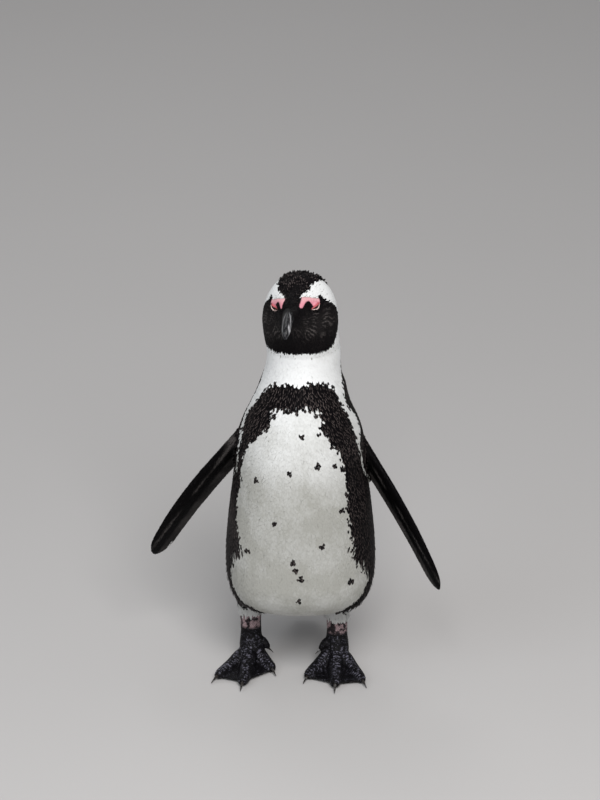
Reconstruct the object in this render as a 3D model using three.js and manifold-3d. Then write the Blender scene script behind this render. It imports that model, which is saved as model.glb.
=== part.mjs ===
// An adult African penguin (Spheniscus demersus), standing with its flippers held off its sides:
// a still, life-size model made of closed solids that meet with a thin gap and no overlap.
// Millimetres, +Z up. The bird faces -Y, so its own right side lies on -X.
import * as THREE from "three";
import { mergeVertices } from "three/addons/utils/BufferGeometryUtils.js";
import Module from "manifold-3d";

const wasm = await Module();
wasm.setup();

const degrees = THREE.MathUtils.degToRad;
const { lerp, smoothstep } = THREE.MathUtils;

// ---- driving dimensions --------------------------------------------------------------------

const GAP = 0.3; // clearance between neighbouring pieces
const FAR = 1000; // longer than the bird, for the blocks that cut it

// The body from vent to crown is one surface. These are its named sections: height above the
// floor, half width, and how far the breast and the back stand from the axis. A roundness of 2
// is an ellipse, more is squarer, and less is more pointed.
const SECTIONS = [
  { name: "belly", z: 150, half: 87, front: 83, back: 70, bow: 2.25, stern: 2.05 },
  { name: "flank", z: 205, half: 83, front: 85, back: 68, bow: 2.2, stern: 2.05 },
  { name: "breast", z: 255, half: 76.5, front: 83, back: 64, bow: 2.15, stern: 2.05 },
  { name: "shoulder", z: 308, half: 68, front: 75, back: 56, bow: 2.1, stern: 2.05 },
  { name: "collar", z: 350, half: 51.5, front: 60, back: 47, bow: 2.0, stern: 2.0 },
  { name: "nape", z: 392, half: 38.6, front: 45, back: 41, bow: 2.0, stern: 2.0 },
  { name: "throat", z: 418, half: 41, front: 44, back: 43, bow: 1.9, stern: 2.0 },
  { name: "cheek", z: 442, half: 43.5, front: 49, back: 46, bow: 1.8, stern: 2.0 },
];
const CROWN = { height: 54, lean: 2, roundness: 2.06, rings: 8 }; // dome over the cheeks
const VENT = { height: 72, lean: 8, roundness: 2.85, rings: 8 }; // dome under the belly
const AROUND = 32; // points round each section
const RING_STEP = 13.5; // height between the sections of the surface

const NECK_BASE = 347; // height of the thin cut between trunk and neck
const HEAD_BASE = 413; // height of the thin cut between neck and head
const HEAD_TURN = { angle: degrees(-12), from: 356, to: 430 }; // the head looks to its right
const HEAD_TILT = degrees(5.5); // the face leans: its left eye stands higher than its right

// Soft swellings of the surface: centre, spread along x, y and z, and height. They lie on both
// sides, but for those that stand alone. Those of the head turn with it.
const SWELLINGS = [
  { name: "forehead", at: [0, -40, 480], spread: [10.5, 18, 7.5], height: 17 },
  { name: "lores", at: [0, -46, 466], spread: [11.5, 22, 9.5], height: 12 },
  { name: "chin", at: [0, -44, 450], spread: [12, 20, 9], height: 5 },
  { name: "nape", at: [38, 12, 397], spread: [15, 26, 16], height: 8.5, alone: true },
  { name: "scruff", at: [46, 14, 359], spread: [14, 24, 11], height: 4.5, alone: true },
  { name: "cheek", at: [33, -24, 438], spread: [14, 16, 14], height: 1.5 },
  { name: "brow", at: [22, -32, 481], spread: [9, 10, 7], height: 1.6 },
  { name: "breast", at: [0, -82, 290], spread: [42, 40, 40], height: 3.5 },
  { name: "shoulder", at: [66, 0, 298], spread: [20, 26, 26], height: 2.5 },
  { name: "thigh", at: [54, -40, 92], spread: [24, 34, 24], height: 4 },
  { name: "hip", at: [66, -6, 84], spread: [18, 30, 16], height: 6.5 },
  { name: "rump", at: [0, 68, 88], spread: [34, 30, 30], height: 21 },
];

// Bill: both mandibles run forward from inside the face. Distances are along the bill from the
// edge of the feathers; heights are from the line of the gape.
const BILL = { root: [-3.3, -48, 465.5], turn: degrees(8), droop: degrees(-0.5), sides: 11 };
const UPPER_MANDIBLE = [
  { at: -14, half: 8.7, tall: 14.4, dip: 0 },
  { at: 0, half: 7.8, tall: 13.4, dip: 0 },
  { at: 14, half: 6.7, tall: 11.7, dip: 0 },
  { at: 28, half: 5.8, tall: 10.7, dip: 0 },
  { at: 39, half: 5.3, tall: 9.9, dip: -0.4 },
  { at: 46.5, half: 4.8, tall: 7.9, dip: -1.1 },
  { at: 51.5, half: 3.5, tall: 4.2, dip: -2.9 },
  { at: 54.5, half: 1.5, tall: -1.4, dip: -5.4 },
];
const LOWER_MANDIBLE = [
  { at: -14, half: 7.8, deep: 10.2 },
  { at: 0, half: 6.8, deep: 9.4 },
  { at: 14, half: 5.7, deep: 8.7 },
  { at: 28, half: 4.7, deep: 8.3 },
  { at: 38, half: 4.0, deep: 7.4 },
  { at: 46, half: 2.8, deep: 5.2 },
  { at: 50, half: 1.5, deep: 3.2 },
];

// An eye stands a little proud of the face. The two are this far to the sides, ahead and up.
const EYE = { radius: 8.2, stand: 1.4, apart: 24, y: -30, z: 469.4, sides: 14 };

// Flippers: where the shoulder is, the way the blade hangs, and the way its leading edge
// faces. Chord and thickness are named along the blade, from shoulder to tip.
const FLIPPER_LENGTH = 204.5;
const FLIPPERS = {
  right: { shoulder: [-69.8, 0, 293.4], hang: [-0.52, 0.224, -0.824], lead: [-0.715, -0.608, 0.345] },
  left: { shoulder: [65.3, 0, 292.5], hang: [0.504, -0.21, -0.838], lead: [0.351, -0.768, 0.535] },
};
const BLADE = [
  { at: -0.1, lead: 6, trail: 15, thick: 14 },
  { at: 0.02, lead: 9.5, trail: 22, thick: 15 },
  { at: 0.16, lead: 14.5, trail: 30, thick: 12 },
  { at: 0.34, lead: 20, trail: 26, thick: 9.5 },
  { at: 0.6, lead: 22.5, trail: 21, thick: 7.4 },
  { at: 0.84, lead: 19.3, trail: 18.5, thick: 5.4 },
  { at: 1, lead: 13, trail: 17.5, thick: 4.2 },
];
const BLADE_TIP = 0.88; // where the rounding of the tip begins
const BLADE_BOW = 9; // how far the tip curves in towards the body
const BLADE_SIDES = 18;
const BLADE_RINGS = 15;

// Tail: a short stiff wedge from the rump down and back.
const TAIL = { root: [0, 58, 112], tip: [0, 118, 22], sides: 16, rings: 9 };
const TAIL_SHAPE = [
  { at: 0, half: 26, thick: 24 },
  { at: 0.35, half: 28, thick: 18 },
  { at: 0.65, half: 26, thick: 9 },
  { at: 0.85, half: 21, thick: 4 },
  { at: 1, half: 12, thick: 2.2 },
];

// Legs and feet. Toes spread from under the shank; turn and spread are outwards, in degrees.
const SHANK = [
  { z: 104, half: 17, deep: 20, y: -1 },
  { z: 76, half: 13.6, deep: 16, y: 4 },
  { z: 62, half: 13, deep: 12.5, y: 7 },
  { z: 50, half: 12.2, deep: 11, y: 9 },
  { z: 38, half: 12.2, deep: 10.5, y: 6 },
  { z: 24, half: 14, deep: 12, y: 1 },
  { z: 12, half: 14.5, deep: 15.5, y: -2 },
  { z: -1, half: 12.5, deep: 15, y: -1.5 },
];
const FOOT_TOP = 33; // height of the thin cut between leg and foot
const FEET = {
  right: { side: -1, x: -57, y: 8, turn: 9, inner: { spread: -56, long: 44 }, lean: 3 },
  left: { side: 1, x: 42.5, y: 4, turn: -2, inner: { spread: -46, long: 62 }, lean: -1 },
};
const MIDDLE_TOE = { spread: 0, curl: 0, long: 72.5, root: 8.8, tip: 7.2 };
const OUTER_TOE = { spread: 36, curl: -14, long: 68, root: 8.6, tip: 6.6 };
const INNER_TOE = { curl: 26, root: 8.4, tip: 6.8 };
const TOE = { sides: 10, rings: 8, rise: 12, sole: 0.8, flat: 1.12 };
const HIND_TOE = { from: [9, 2, 30], to: [20.5, -7, 20.5], root: 6.6, tip: 3.6 };
const CLAW = { long: 11, root: 2.7, tip: 0.45, buried: 4, drop: 3.6, sides: 7, rings: 5 };
const WEB = { thick: 2.4, sag: 1.6, across: 4, along: 5, notch: 0.03 };

// ---- curves, lofts and solids --------------------------------------------------------------

// A smooth curve through named stations. With flat ends it runs on as a straight line.
function through(stations, place, key, at, flatEnds = false) {
  const last = stations.length - 1;
  const value = (i) => stations[i][key];
  const position = (i) => stations[i][place];
  if (at <= position(0)) return value(0);
  if (at >= position(last)) return value(last);
  const slope = (i) => {
    if (flatEnds && (i === 0 || i === last)) return 0;
    const low = Math.max(i - 1, 0);
    const high = Math.min(i + 1, last);
    return (value(high) - value(low)) / (position(high) - position(low));
  };
  const i = stations.findIndex((_, k) => k < last && at < position(k + 1));
  const span = position(i + 1) - position(i);
  const t = (at - position(i)) / span;
  const rise = value(i + 1) - value(i);
  const a = slope(i) * span - rise;
  const b = rise - slope(i + 1) * span;
  return value(i) + rise * t + t * (1 - t) * (a * (1 - t) + b * t);
}

// A closed surface over rings of points. A ring of one point is a pole, and an open end is
// closed by a fan round its middle.
function loft(rings) {
  const closed = [...rings];
  const middle = (ring) =>
    ring.reduce((sum, p) => sum.add(p), new THREE.Vector3()).divideScalar(ring.length);
  if (rings[0].length > 1) closed.unshift([middle(rings[0])]);
  if (rings.at(-1).length > 1) closed.push([middle(rings.at(-1))]);
  const starts = [];
  const points = [];
  for (const ring of closed) {
    starts.push(points.length);
    points.push(...ring);
  }
  const faces = [];
  for (let r = 0; r + 1 < closed.length; r++) {
    const [low, high] = [closed[r], closed[r + 1]];
    const count = Math.max(low.length, high.length);
    for (let j = 0; j < count; j++) {
      const next = (j + 1) % count;
      const corner = (ring, k) => starts[ring] + (closed[ring].length === 1 ? 0 : k);
      if (low.length > 1) faces.push([corner(r, j), corner(r, next), corner(r + 1, next)]);
      if (high.length > 1) faces.push([corner(r, j), corner(r + 1, next), corner(r + 1, j)]);
    }
  }
  let volume = 0;
  for (const [a, b, c] of faces)
    volume += points[a].dot(new THREE.Vector3().crossVectors(points[b], points[c]));
  if (volume < 0) faces.forEach((face) => face.reverse());
  const geometry = new THREE.BufferGeometry().setFromPoints(points);
  geometry.setIndex(faces.flat());
  return geometry;
}

function solidOf(geometry) {
  const bare = new THREE.BufferGeometry();
  bare.setAttribute("position", geometry.getAttribute("position"));
  bare.setIndex(geometry.index);
  const merged = mergeVertices(bare, 1e-4);
  return new wasm.Manifold(
    new wasm.Mesh({
      numProp: 3,
      vertProperties: new Float32Array(merged.attributes.position.array),
      triVerts: new Uint32Array(merged.index.array),
    }),
  );
}

function geometryOf(solid) {
  const mesh = solid.getMesh();
  const geometry = new THREE.BufferGeometry();
  geometry.setAttribute("position", new THREE.BufferAttribute(mesh.vertProperties, 3));
  geometry.setIndex(new THREE.BufferAttribute(mesh.triVerts, 1));
  geometry.computeVertexNormals();
  return geometry;
}

const solidLoft = (rings) => solidOf(loft(rings));

// A block across the whole bird between two heights, for cutting it level.
function levels(low, high) {
  const block = new THREE.BoxGeometry(FAR, FAR, high - low);
  block.translate(0, 0, (low + high) / 2);
  return solidOf(block);
}

const signedPower = (value, power) => Math.sign(value) * Math.abs(value) ** power;

// Turns a point of the body with the head, by as much as its height says.
function turned(point) {
  const share = smoothstep(point.z, HEAD_TURN.from, HEAD_TURN.to);
  return point.applyAxisAngle(new THREE.Vector3(0, 0, 1), HEAD_TURN.angle * share);
}

// ---- body: trunk, neck and head in one surface ---------------------------------------------

function swelling(point) {
  let height = 0;
  for (const { at, spread, height: top, alone } of SWELLINGS) {
    const x = (alone ? point.x : Math.abs(point.x)) - at[0];
    const away = (x / spread[0]) ** 2 + ((point.y - at[1]) / spread[1]) ** 2;
    height += top * Math.exp(-(away + ((point.z - at[2]) / spread[2]) ** 2) / 2);
  }
  return height;
}

// One section: scale shrinks it towards the axis, shift moves it forward or back.
function bodyRing(z, scale, shift, grow) {
  const base = THREE.MathUtils.clamp(z, SECTIONS[0].z, SECTIONS.at(-1).z);
  const size = (key) => through(SECTIONS, "z", key, base, true);
  const ring = [];
  for (let j = 0; j < AROUND; j++) {
    const angle = (2 * Math.PI * j) / AROUND;
    const ahead = Math.cos(angle) > 0;
    const power = 2 / size(ahead ? "bow" : "stern");
    const x = size("half") * signedPower(Math.sin(angle), power) * scale;
    const reach = size(ahead ? "front" : "back") * scale;
    const y = shift - reach * signedPower(Math.cos(angle), power);
    const point = new THREE.Vector3(x, y, z);
    const outwards = new THREE.Vector3(x, y, 0).normalize();
    point.addScaledVector(outwards, swelling(point) + grow);
    ring.push(turned(point));
  }
  return ring;
}

function domeRings(dome, z, way, grow) {
  const rings = [];
  for (let k = 1; k < dome.rings; k++) {
    const angle = (Math.PI / 2) * (k / dome.rings);
    const scale = Math.cos(angle) ** (2 / dome.roundness);
    const rise = dome.height * Math.sin(angle) ** (2 / dome.roundness);
    rings.push(bodyRing(z + way * rise, scale, dome.lean * (1 - scale), grow));
  }
  rings.push([turned(new THREE.Vector3(0, dome.lean, z + way * (dome.height + grow)))]);
  return rings;
}

// A length of the body. Without `from` it takes in the belly, without `to` the crown.
function bodySolid({ from, to, grow = 0 } = {}) {
  const low = from ?? SECTIONS[0].z;
  const high = to ?? SECTIONS.at(-1).z;
  const steps = Math.round((high - low) / RING_STEP);
  const rings = from === undefined ? domeRings(VENT, low, -1, grow).reverse() : [];
  for (let k = 0; k <= steps; k++) rings.push(bodyRing(lerp(low, high, k / steps), 1, 0, grow));
  if (to === undefined) rings.push(...domeRings(CROWN, high, 1, grow));
  return solidLoft(rings);
}

// ---- bill ----------------------------------------------------------------------------------

// Places a point given along the bill, across it, and above the gape.
function billPoint(at, across, up) {
  const [x, y, z] = BILL.root;
  const drop = Math.tan(BILL.droop) * at;
  const [cos, sin] = [Math.cos(BILL.turn), Math.sin(BILL.turn)];
  const lift = up - drop + across * Math.tan(HEAD_TILT);
  const ahead = new THREE.Vector3(at * sin + across * cos, across * sin - at * cos, lift);
  return turned(ahead.add(new THREE.Vector3(x, y, z)));
}

function upperMandible(grow = 0) {
  const ring = (at) => {
    const half = through(UPPER_MANDIBLE, "at", "half", at) + grow;
    const foot = through(UPPER_MANDIBLE, "at", "dip", at) + GAP / 2 - grow;
    const top = through(UPPER_MANDIBLE, "at", "tall", at) + grow;
    const points = [];
    for (let j = 0; j <= BILL.sides; j++) {
      const angle = (Math.PI * j) / BILL.sides;
      const up = foot + (top - foot) * Math.sin(angle) ** 0.85;
      points.push(billPoint(at, half * Math.cos(angle), up));
    }
    return points;
  };
  return solidLoft(UPPER_MANDIBLE.map((station) => ring(station.at)));
}

function lowerMandible(grow = 0) {
  const ring = (at) => {
    const half = through(LOWER_MANDIBLE, "at", "half", at) + grow;
    const brim = through(UPPER_MANDIBLE, "at", "dip", at) - GAP / 2 + grow;
    const keel = -through(LOWER_MANDIBLE, "at", "deep", at) - grow;
    const points = [];
    for (let j = 0; j <= BILL.sides; j++) {
      const angle = (Math.PI * j) / BILL.sides;
      const up = brim + (keel - brim) * Math.sin(angle) ** 0.8;
      points.push(billPoint(at, -half * Math.cos(angle), up));
    }
    return points;
  };
  return solidLoft(LOWER_MANDIBLE.map((station) => ring(station.at)));
}

// ---- eyes ----------------------------------------------------------------------------------

// Where a level line from the head's axis, through (x, EYE.y), leaves the body's surface.
function eyeCentre(side) {
  const z = EYE.z + side * EYE.apart * Math.tan(HEAD_TILT);
  const scale = Math.sqrt(1 - ((z - SECTIONS.at(-1).z) / CROWN.height) ** 2);
  const ring = bodyRing(z, scale, CROWN.lean * (1 - scale), 0);
  const axis = new THREE.Vector3(0, 0, 1);
  const level = ring.map((p) => p.clone().applyAxisAngle(axis, -HEAD_TURN.angle));
  const beside = level.filter((p) => p.x * side > 0 && p.y < 0);
  beside.sort((a, b) => Math.abs(a.y - EYE.y) - Math.abs(b.y - EYE.y));
  const [near, next] = beside;
  const share = (EYE.y - near.y) / (next.y - near.y);
  const skin = near.clone().lerp(next, share);
  const edge = next.clone().sub(near).normalize();
  const outwards = new THREE.Vector3(edge.y, -edge.x, 0);
  if (outwards.x * side < 0) outwards.negate();
  outwards.z = 0.3;
  skin.addScaledVector(outwards.normalize(), EYE.stand - EYE.radius);
  return skin.applyAxisAngle(axis, HEAD_TURN.angle);
}

function eyeBall(side, grow = 0) {
  const ball = new THREE.SphereGeometry(EYE.radius + grow, EYE.sides, EYE.sides / 2 + 2);
  ball.deleteAttribute("normal");
  ball.deleteAttribute("uv");
  ball.translate(...eyeCentre(side).toArray());
  return solidOf(ball);
}

// ---- flippers ------------------------------------------------------------------------------

function flipperSolid({ shoulder, hang, lead }) {
  const down = new THREE.Vector3(...hang).normalize();
  const edge = new THREE.Vector3(...lead);
  edge.addScaledVector(down, -edge.dot(down)).normalize();
  const face = new THREE.Vector3().crossVectors(down, edge);
  const inwards = Math.sign(-shoulder[0] * face.x);
  const rings = [];
  for (let k = 0; k <= BLADE_RINGS; k++) {
    const at = lerp(BLADE[0].at, 1, Math.sin(((k / BLADE_RINGS) * Math.PI) / 2) ** 1.1);
    const past = Math.max(0, (at - BLADE_TIP) / (1 - BLADE_TIP));
    const close = Math.sqrt(1 - past ** 2);
    const front = through(BLADE, "at", "lead", at);
    const back = through(BLADE, "at", "trail", at);
    const middle = (front - back) / 2;
    const half = ((front + back) / 2) * close;
    const thick = (through(BLADE, "at", "thick", at) / 2) * Math.sqrt(close);
    const centre = new THREE.Vector3(...shoulder)
      .addScaledVector(down, FLIPPER_LENGTH * at)
      .addScaledVector(face, inwards * BLADE_BOW * at * at);
    if (past === 1) {
      rings.push([centre.addScaledVector(edge, middle)]);
      continue;
    }
    const ring = [];
    for (let j = 0; j < BLADE_SIDES; j++) {
      const angle = (2 * Math.PI * j) / BLADE_SIDES;
      const across = middle + half * Math.cos(angle);
      const out = thick * Math.sin(angle) * (1 + 0.4 * Math.cos(angle));
      ring.push(centre.clone().addScaledVector(edge, across).addScaledVector(face, out));
    }
    rings.push(ring);
  }
  return solidLoft(rings);
}

// ---- tail ----------------------------------------------------------------------------------

function tailSolid() {
  const root = new THREE.Vector3(...TAIL.root);
  const tip = new THREE.Vector3(...TAIL.tip);
  const down = tip.clone().sub(root).normalize();
  const side = new THREE.Vector3(1, 0, 0);
  const face = new THREE.Vector3().crossVectors(side, down).normalize();
  const rings = [];
  for (let k = 0; k <= TAIL.rings; k++) {
    const at = k / TAIL.rings;
    const half = through(TAIL_SHAPE, "at", "half", at);
    const thick = through(TAIL_SHAPE, "at", "thick", at);
    const centre = root.clone().lerp(tip, at);
    const ring = [];
    for (let j = 0; j < TAIL.sides; j++) {
      const angle = (2 * Math.PI * j) / TAIL.sides;
      const out = thick * Math.sin(angle);
      const across = half * signedPower(Math.cos(angle), 0.8);
      ring.push(centre.clone().addScaledVector(side, across).addScaledVector(face, out));
    }
    rings.push(ring);
  }
  return solidLoft(rings);
}

// ---- legs and feet -------------------------------------------------------------------------

// A rounded finger along a path: half width and half height at each share of its length.
function finger(path, half, tall, sides, ringCount) {
  const rings = [];
  for (let k = 0; k <= ringCount; k++) {
    const at = (1 - Math.cos((Math.PI * k) / ringCount)) / 2;
    const centre = path(at);
    const ahead = path(Math.min(at + 0.01, 1)).sub(path(Math.max(at - 0.01, 0)));
    const across = new THREE.Vector3(-ahead.y, ahead.x, 0).normalize();
    const up = new THREE.Vector3().crossVectors(ahead, across).normalize();
    const round = Math.sin(Math.acos(THREE.MathUtils.clamp(2 * at - 1, -1, 1))) ** 0.55;
    if (k === 0 || k === ringCount) {
      rings.push([centre]);
      continue;
    }
    const ring = [];
    for (let j = 0; j < sides; j++) {
      const angle = (2 * Math.PI * j) / sides;
      const point = centre.clone().addScaledVector(across, half(at) * round * Math.cos(angle));
      ring.push(point.addScaledVector(up, -tall(at) * round * Math.sin(angle)));
    }
    rings.push(ring);
  }
  return solidLoft(rings);
}

const toesOf = (foot) => ({
  inner: { ...INNER_TOE, ...foot.inner },
  middle: MIDDLE_TOE,
  outer: OUTER_TOE,
});

// The line that a toe's middle follows, from under the shank to its end.
function toeLine(foot, toe) {
  const ankle = new THREE.Vector3(foot.x, foot.y - 4, 0);
  return (at) => {
    const way = degrees(foot.turn + toe.spread + (toe.curl * at) / 2);
    const out = new THREE.Vector3(foot.side * Math.sin(way), -Math.cos(way), 0);
    const point = ankle.clone().addScaledVector(out, toe.long * at);
    const lift = TOE.rise * (1 - smoothstep(at, 0, 0.62));
    point.z = lerp(toe.root, toe.tip, at) * TOE.sole + lift;
    return point;
  };
}

function toeSolid(foot, toe) {
  const knuckle = (at) => 1 + 0.07 * Math.cos(at * 5 * Math.PI);
  const radius = (at) => lerp(toe.root, toe.tip, at) * knuckle(at);
  const half = (at) => radius(at) * TOE.flat;
  return finger(toeLine(foot, toe), half, radius, TOE.sides, TOE.rings);
}

// The skin between two toes, from the shank to near their ends.
function webSolid(foot, first, second, firstEnd, secondEnd) {
  const [a, b] = [toeLine(foot, first), toeLine(foot, second)];
  const point = (u, v, lift) => {
    const dip = 1 - WEB.notch * Math.sin(Math.PI * u);
    const share = 0.1 + v * (lerp(firstEnd, secondEnd, u) * dip - 0.1);
    const place = a(share).lerp(b(share), u);
    place.z = Math.max(place.z - WEB.sag * Math.sin(Math.PI * u), 0.6 + WEB.thick / 2) + lift;
    return place;
  };
  const rings = [];
  for (let k = 0; k <= WEB.along; k++) {
    const v = k / WEB.along;
    const upper = [];
    const lower = [];
    for (let j = 0; j <= WEB.across; j++) {
      upper.push(point(j / WEB.across, v, WEB.thick / 2));
      lower.unshift(point(j / WEB.across, v, -WEB.thick / 2));
    }
    rings.push([...upper, ...lower]);
  }
  return solidLoft(rings);
}

function shankSolid(foot) {
  const rings = [...SHANK].reverse().map(({ z, half, deep, y }) => {
    const x = foot.x - foot.lean * (z / SHANK[0].z);
    const ring = [];
    for (let j = 0; j < 18; j++) {
      const angle = (2 * Math.PI * j) / 18;
      const back = foot.y + y + deep * Math.sin(angle) - 8;
      ring.push(new THREE.Vector3(x + half * Math.cos(angle), back, z));
    }
    return ring;
  });
  return solidLoft(rings);
}

function hindToeLine(foot) {
  const place = ([inwards, y, z]) => new THREE.Vector3(foot.x - foot.side * inwards, foot.y - 8 + y, z);
  const [from, to] = [place(HIND_TOE.from), place(HIND_TOE.to)];
  return (at) => from.clone().lerp(to, at);
}

function hindToeSolid(foot) {
  const radius = (at) => lerp(HIND_TOE.root, HIND_TOE.tip, at);
  return finger(hindToeLine(foot), radius, radius, 10, 7);
}

// A claw grows out of the end of a toe and curves down.
function clawSolid(line, size, grow = 0) {
  const tip = line(1);
  const ahead = tip.clone().sub(line(0.8)).normalize();
  const drop = Math.min(CLAW.drop, tip.z - CLAW.tip - 0.8);
  const start = tip.clone().addScaledVector(ahead, -CLAW.buried - grow);
  const rings = [];
  const across = new THREE.Vector3(-ahead.y, ahead.x, 0).normalize();
  for (let k = 0; k <= CLAW.rings; k++) {
    const at = k / CLAW.rings;
    const centre = start.clone().addScaledVector(ahead, (CLAW.long * size + CLAW.buried) * at);
    centre.z = Math.max(tip.z - drop * at * at, CLAW.tip + 0.4);
    const radius = lerp(CLAW.root * size, CLAW.tip, at ** 1.3) + grow;
    const ring = [];
    for (let j = 0; j < CLAW.sides; j++) {
      const angle = (2 * Math.PI * j) / CLAW.sides;
      const point = centre.clone().addScaledVector(across, 0.8 * radius * Math.cos(angle));
      point.z += radius * Math.sin(angle);
      ring.push(point);
    }
    rings.push(ring);
  }
  return solidLoft(rings);
}

// ---- assembly ------------------------------------------------------------------------------

const paint = (color, roughness, metalness = 0) =>
  new THREE.MeshStandardMaterial({ color, roughness, metalness });
const MATERIALS = {
  white: paint(0xe9e9e4, 0.75),
  black: paint(0x1b191b, 0.65),
  bare: paint(0x25221f, 0.6),
  horn: paint(0x1a1a1c, 0.35),
  eye: paint(0x2a1510, 0.1),
};

const penguin = new THREE.Group();

function addNode(name, solid, material) {
  const mesh = new THREE.Mesh(geometryOf(solid), MATERIALS[material]);
  mesh.name = name;
  penguin.add(mesh);
}

let head = bodySolid({ from: HEAD_BASE + GAP / 2 });
for (const cutter of [upperMandible(GAP), lowerMandible(GAP), eyeBall(-1, GAP), eyeBall(1, GAP)])
  head = head.subtract(cutter);
addNode("head", head, "black");
addNode("bill_upper", upperMandible(), "horn");
addNode("bill_lower", lowerMandible(), "horn");
addNode("eye_right", eyeBall(-1), "eye");
addNode("eye_left", eyeBall(1), "eye");
addNode("neck", bodySolid({ from: NECK_BASE + GAP / 2, to: HEAD_BASE - GAP / 2 }), "white");
addNode("trunk", bodySolid({ to: NECK_BASE - GAP / 2 }), "white");

const bodyGrown = bodySolid({ grow: GAP });
addNode("tail", tailSolid().subtract(bodyGrown), "black");

for (const [side, pose] of Object.entries(FLIPPERS))
  addNode(`flipper_${side}`, flipperSolid(pose).subtract(bodyGrown), "black");

for (const [side, foot] of Object.entries(FEET)) {
  const { inner, middle, outer } = toesOf(foot);
  let limb = shankSolid(foot)
    .add(hindToeSolid(foot))
    .add(webSolid(foot, inner, middle, 0.95, 0.89))
    .add(webSolid(foot, middle, outer, 0.89, 0.95));
  for (const toe of [inner, middle, outer]) limb = limb.add(toeSolid(foot, toe));
  const claws = {
    inner: [toeLine(foot, inner), 0.85],
    middle: [toeLine(foot, middle), 1],
    outer: [toeLine(foot, outer), 0.9],
    hind: [hindToeLine(foot), 0.62],
  };
  for (const [toe, [line, size]] of Object.entries(claws)) {
    addNode(`claw_${side}_${toe}`, clawSolid(line, size), "horn");
    limb = limb.subtract(clawSolid(line, size, GAP));
  }
  const leg = limb.intersect(levels(FOOT_TOP + GAP / 2, FAR)).subtract(bodyGrown);
  addNode(`leg_${side}`, leg, "bare");
  addNode(`foot_${side}`, limb.intersect(levels(0, FOOT_TOP - GAP / 2)), "bare");
}

// The origin is under the middle of the bird's box, on the floor.
const box = new THREE.Box3().setFromObject(penguin);
const middle = box.getCenter(new THREE.Vector3());
penguin.position.set(-middle.x, -middle.y, -box.min.z);

export default penguin;
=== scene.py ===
"""An adult African penguin at life size: skin, plumage, bill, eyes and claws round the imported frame.

The bird stands on the floor and faces -Y, with its head turned to its own right (-X). Blender works in
metres. Places on the body are given in millimetres from the body's upright axis and the floor.
"""

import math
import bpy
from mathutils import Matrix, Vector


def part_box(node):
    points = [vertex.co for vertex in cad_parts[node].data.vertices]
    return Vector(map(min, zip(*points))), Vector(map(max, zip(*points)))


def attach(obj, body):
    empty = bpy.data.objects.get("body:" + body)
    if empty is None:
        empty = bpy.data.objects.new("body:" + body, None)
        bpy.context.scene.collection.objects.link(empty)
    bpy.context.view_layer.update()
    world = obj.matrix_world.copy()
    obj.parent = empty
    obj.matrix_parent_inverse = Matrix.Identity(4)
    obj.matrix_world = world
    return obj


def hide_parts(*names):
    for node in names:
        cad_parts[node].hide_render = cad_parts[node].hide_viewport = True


bl_info = {
    "name": "African Penguin",
    "version": (1, 0, 0),
    "blender": (4, 5, 0),
    "location": "View3D > Sidebar > Penguin",
    "description": "Skin, plumage, bill, eyes and claws of a life-size African penguin, and its stage",
    "category": "Add Mesh",
}

import bmesh
import bpy
import numpy as np
from bpy.props import FloatProperty, FloatVectorProperty, IntProperty, PointerProperty
from mathutils import Vector

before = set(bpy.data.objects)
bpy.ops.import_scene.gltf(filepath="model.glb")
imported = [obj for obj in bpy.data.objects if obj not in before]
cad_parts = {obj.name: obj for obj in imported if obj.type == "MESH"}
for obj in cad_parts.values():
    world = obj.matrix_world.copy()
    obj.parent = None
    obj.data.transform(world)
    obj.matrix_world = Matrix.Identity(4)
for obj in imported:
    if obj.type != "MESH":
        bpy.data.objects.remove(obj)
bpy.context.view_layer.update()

MM = 0.001

# ---- landmarks, from the frame ---------------------------------------------------------------


def corners(name):
    """Lowest and highest corner of a CAD node, in millimetres."""
    return [np.array(corner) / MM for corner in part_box(name)]


def middle(name):
    low, high = corners(name)
    return (low + high) / 2


BREAST_REACH = 85.73  # from the body's axis forward to the front of the breast
TRUNK_LOW, TRUNK_HIGH = corners("trunk")
AXIS = np.array([(TRUNK_LOW[0] + TRUNK_HIGH[0]) / 2, TRUNK_LOW[1] + BREAST_REACH, 0])

HEAD_TURN = -12.0  # degrees, towards the bird's own right
TURN_FROM, TURN_TO = 356.0, 430.0  # the neck takes up the turn between these heights
FACE_TURN = 3.0  # degrees; both eyes look out to the sides of this line
HEAD_TILT = math.radians(5.5)  # the face leans: its left eye stands higher
TILT_FROM = 400  # the lean begins at this height

FLESH = ["trunk", "neck", "head", "tail", "flipper_left", "flipper_right"]
FLESH += ["leg_left", "leg_right", "foot_left", "foot_right"]
# The parts of the coat, as the skin remembers them. Tract 0 grows no feathers.
TRACTS = {"body": 1, "head": 2, "tail": 3, "flipper_left": 4, "flipper_right": 5, "legs": 6, "feet": 7}
TRACT_OF = {"trunk": "body", "neck": "body", "leg_left": "legs", "leg_right": "legs"}
TRACT_OF.update(foot_left="feet", foot_right="feet")

# ---- numbers over a surface ------------------------------------------------------------------


def unit(vectors):
    length = np.linalg.norm(vectors, axis=-1, keepdims=True)
    return vectors / np.maximum(length, 1e-9)


def dot(a, b):
    return (a * b).sum(-1)


def smoothstep(value, low, high):
    """0 up to `low`, 1 from `high`, and a soft rise between. It falls where `low` is the larger."""
    share = np.clip((value - low) / (high - low), 0, 1)
    return share * share * (3 - 2 * share)


def mix(a, b, share):
    return a + (b - a) * share


def hump(value, centre, spread):
    """1 at the centre, falling to nothing over about twice the spread."""
    return np.exp(-(((value - centre) / spread) ** 2))


def read_column(data, key, size, kind=np.float32):
    column = np.empty(len(data) * size, kind)
    data.foreach_get(key, column)
    return column.reshape(-1, size) if size > 1 else column


def places(mesh):
    return read_column(mesh.vertices, "co", 3).astype(float) / MM


def place_all(mesh, at):
    mesh.vertices.foreach_set("co", (at * MM).astype(np.float32).ravel())
    mesh.update()


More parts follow.
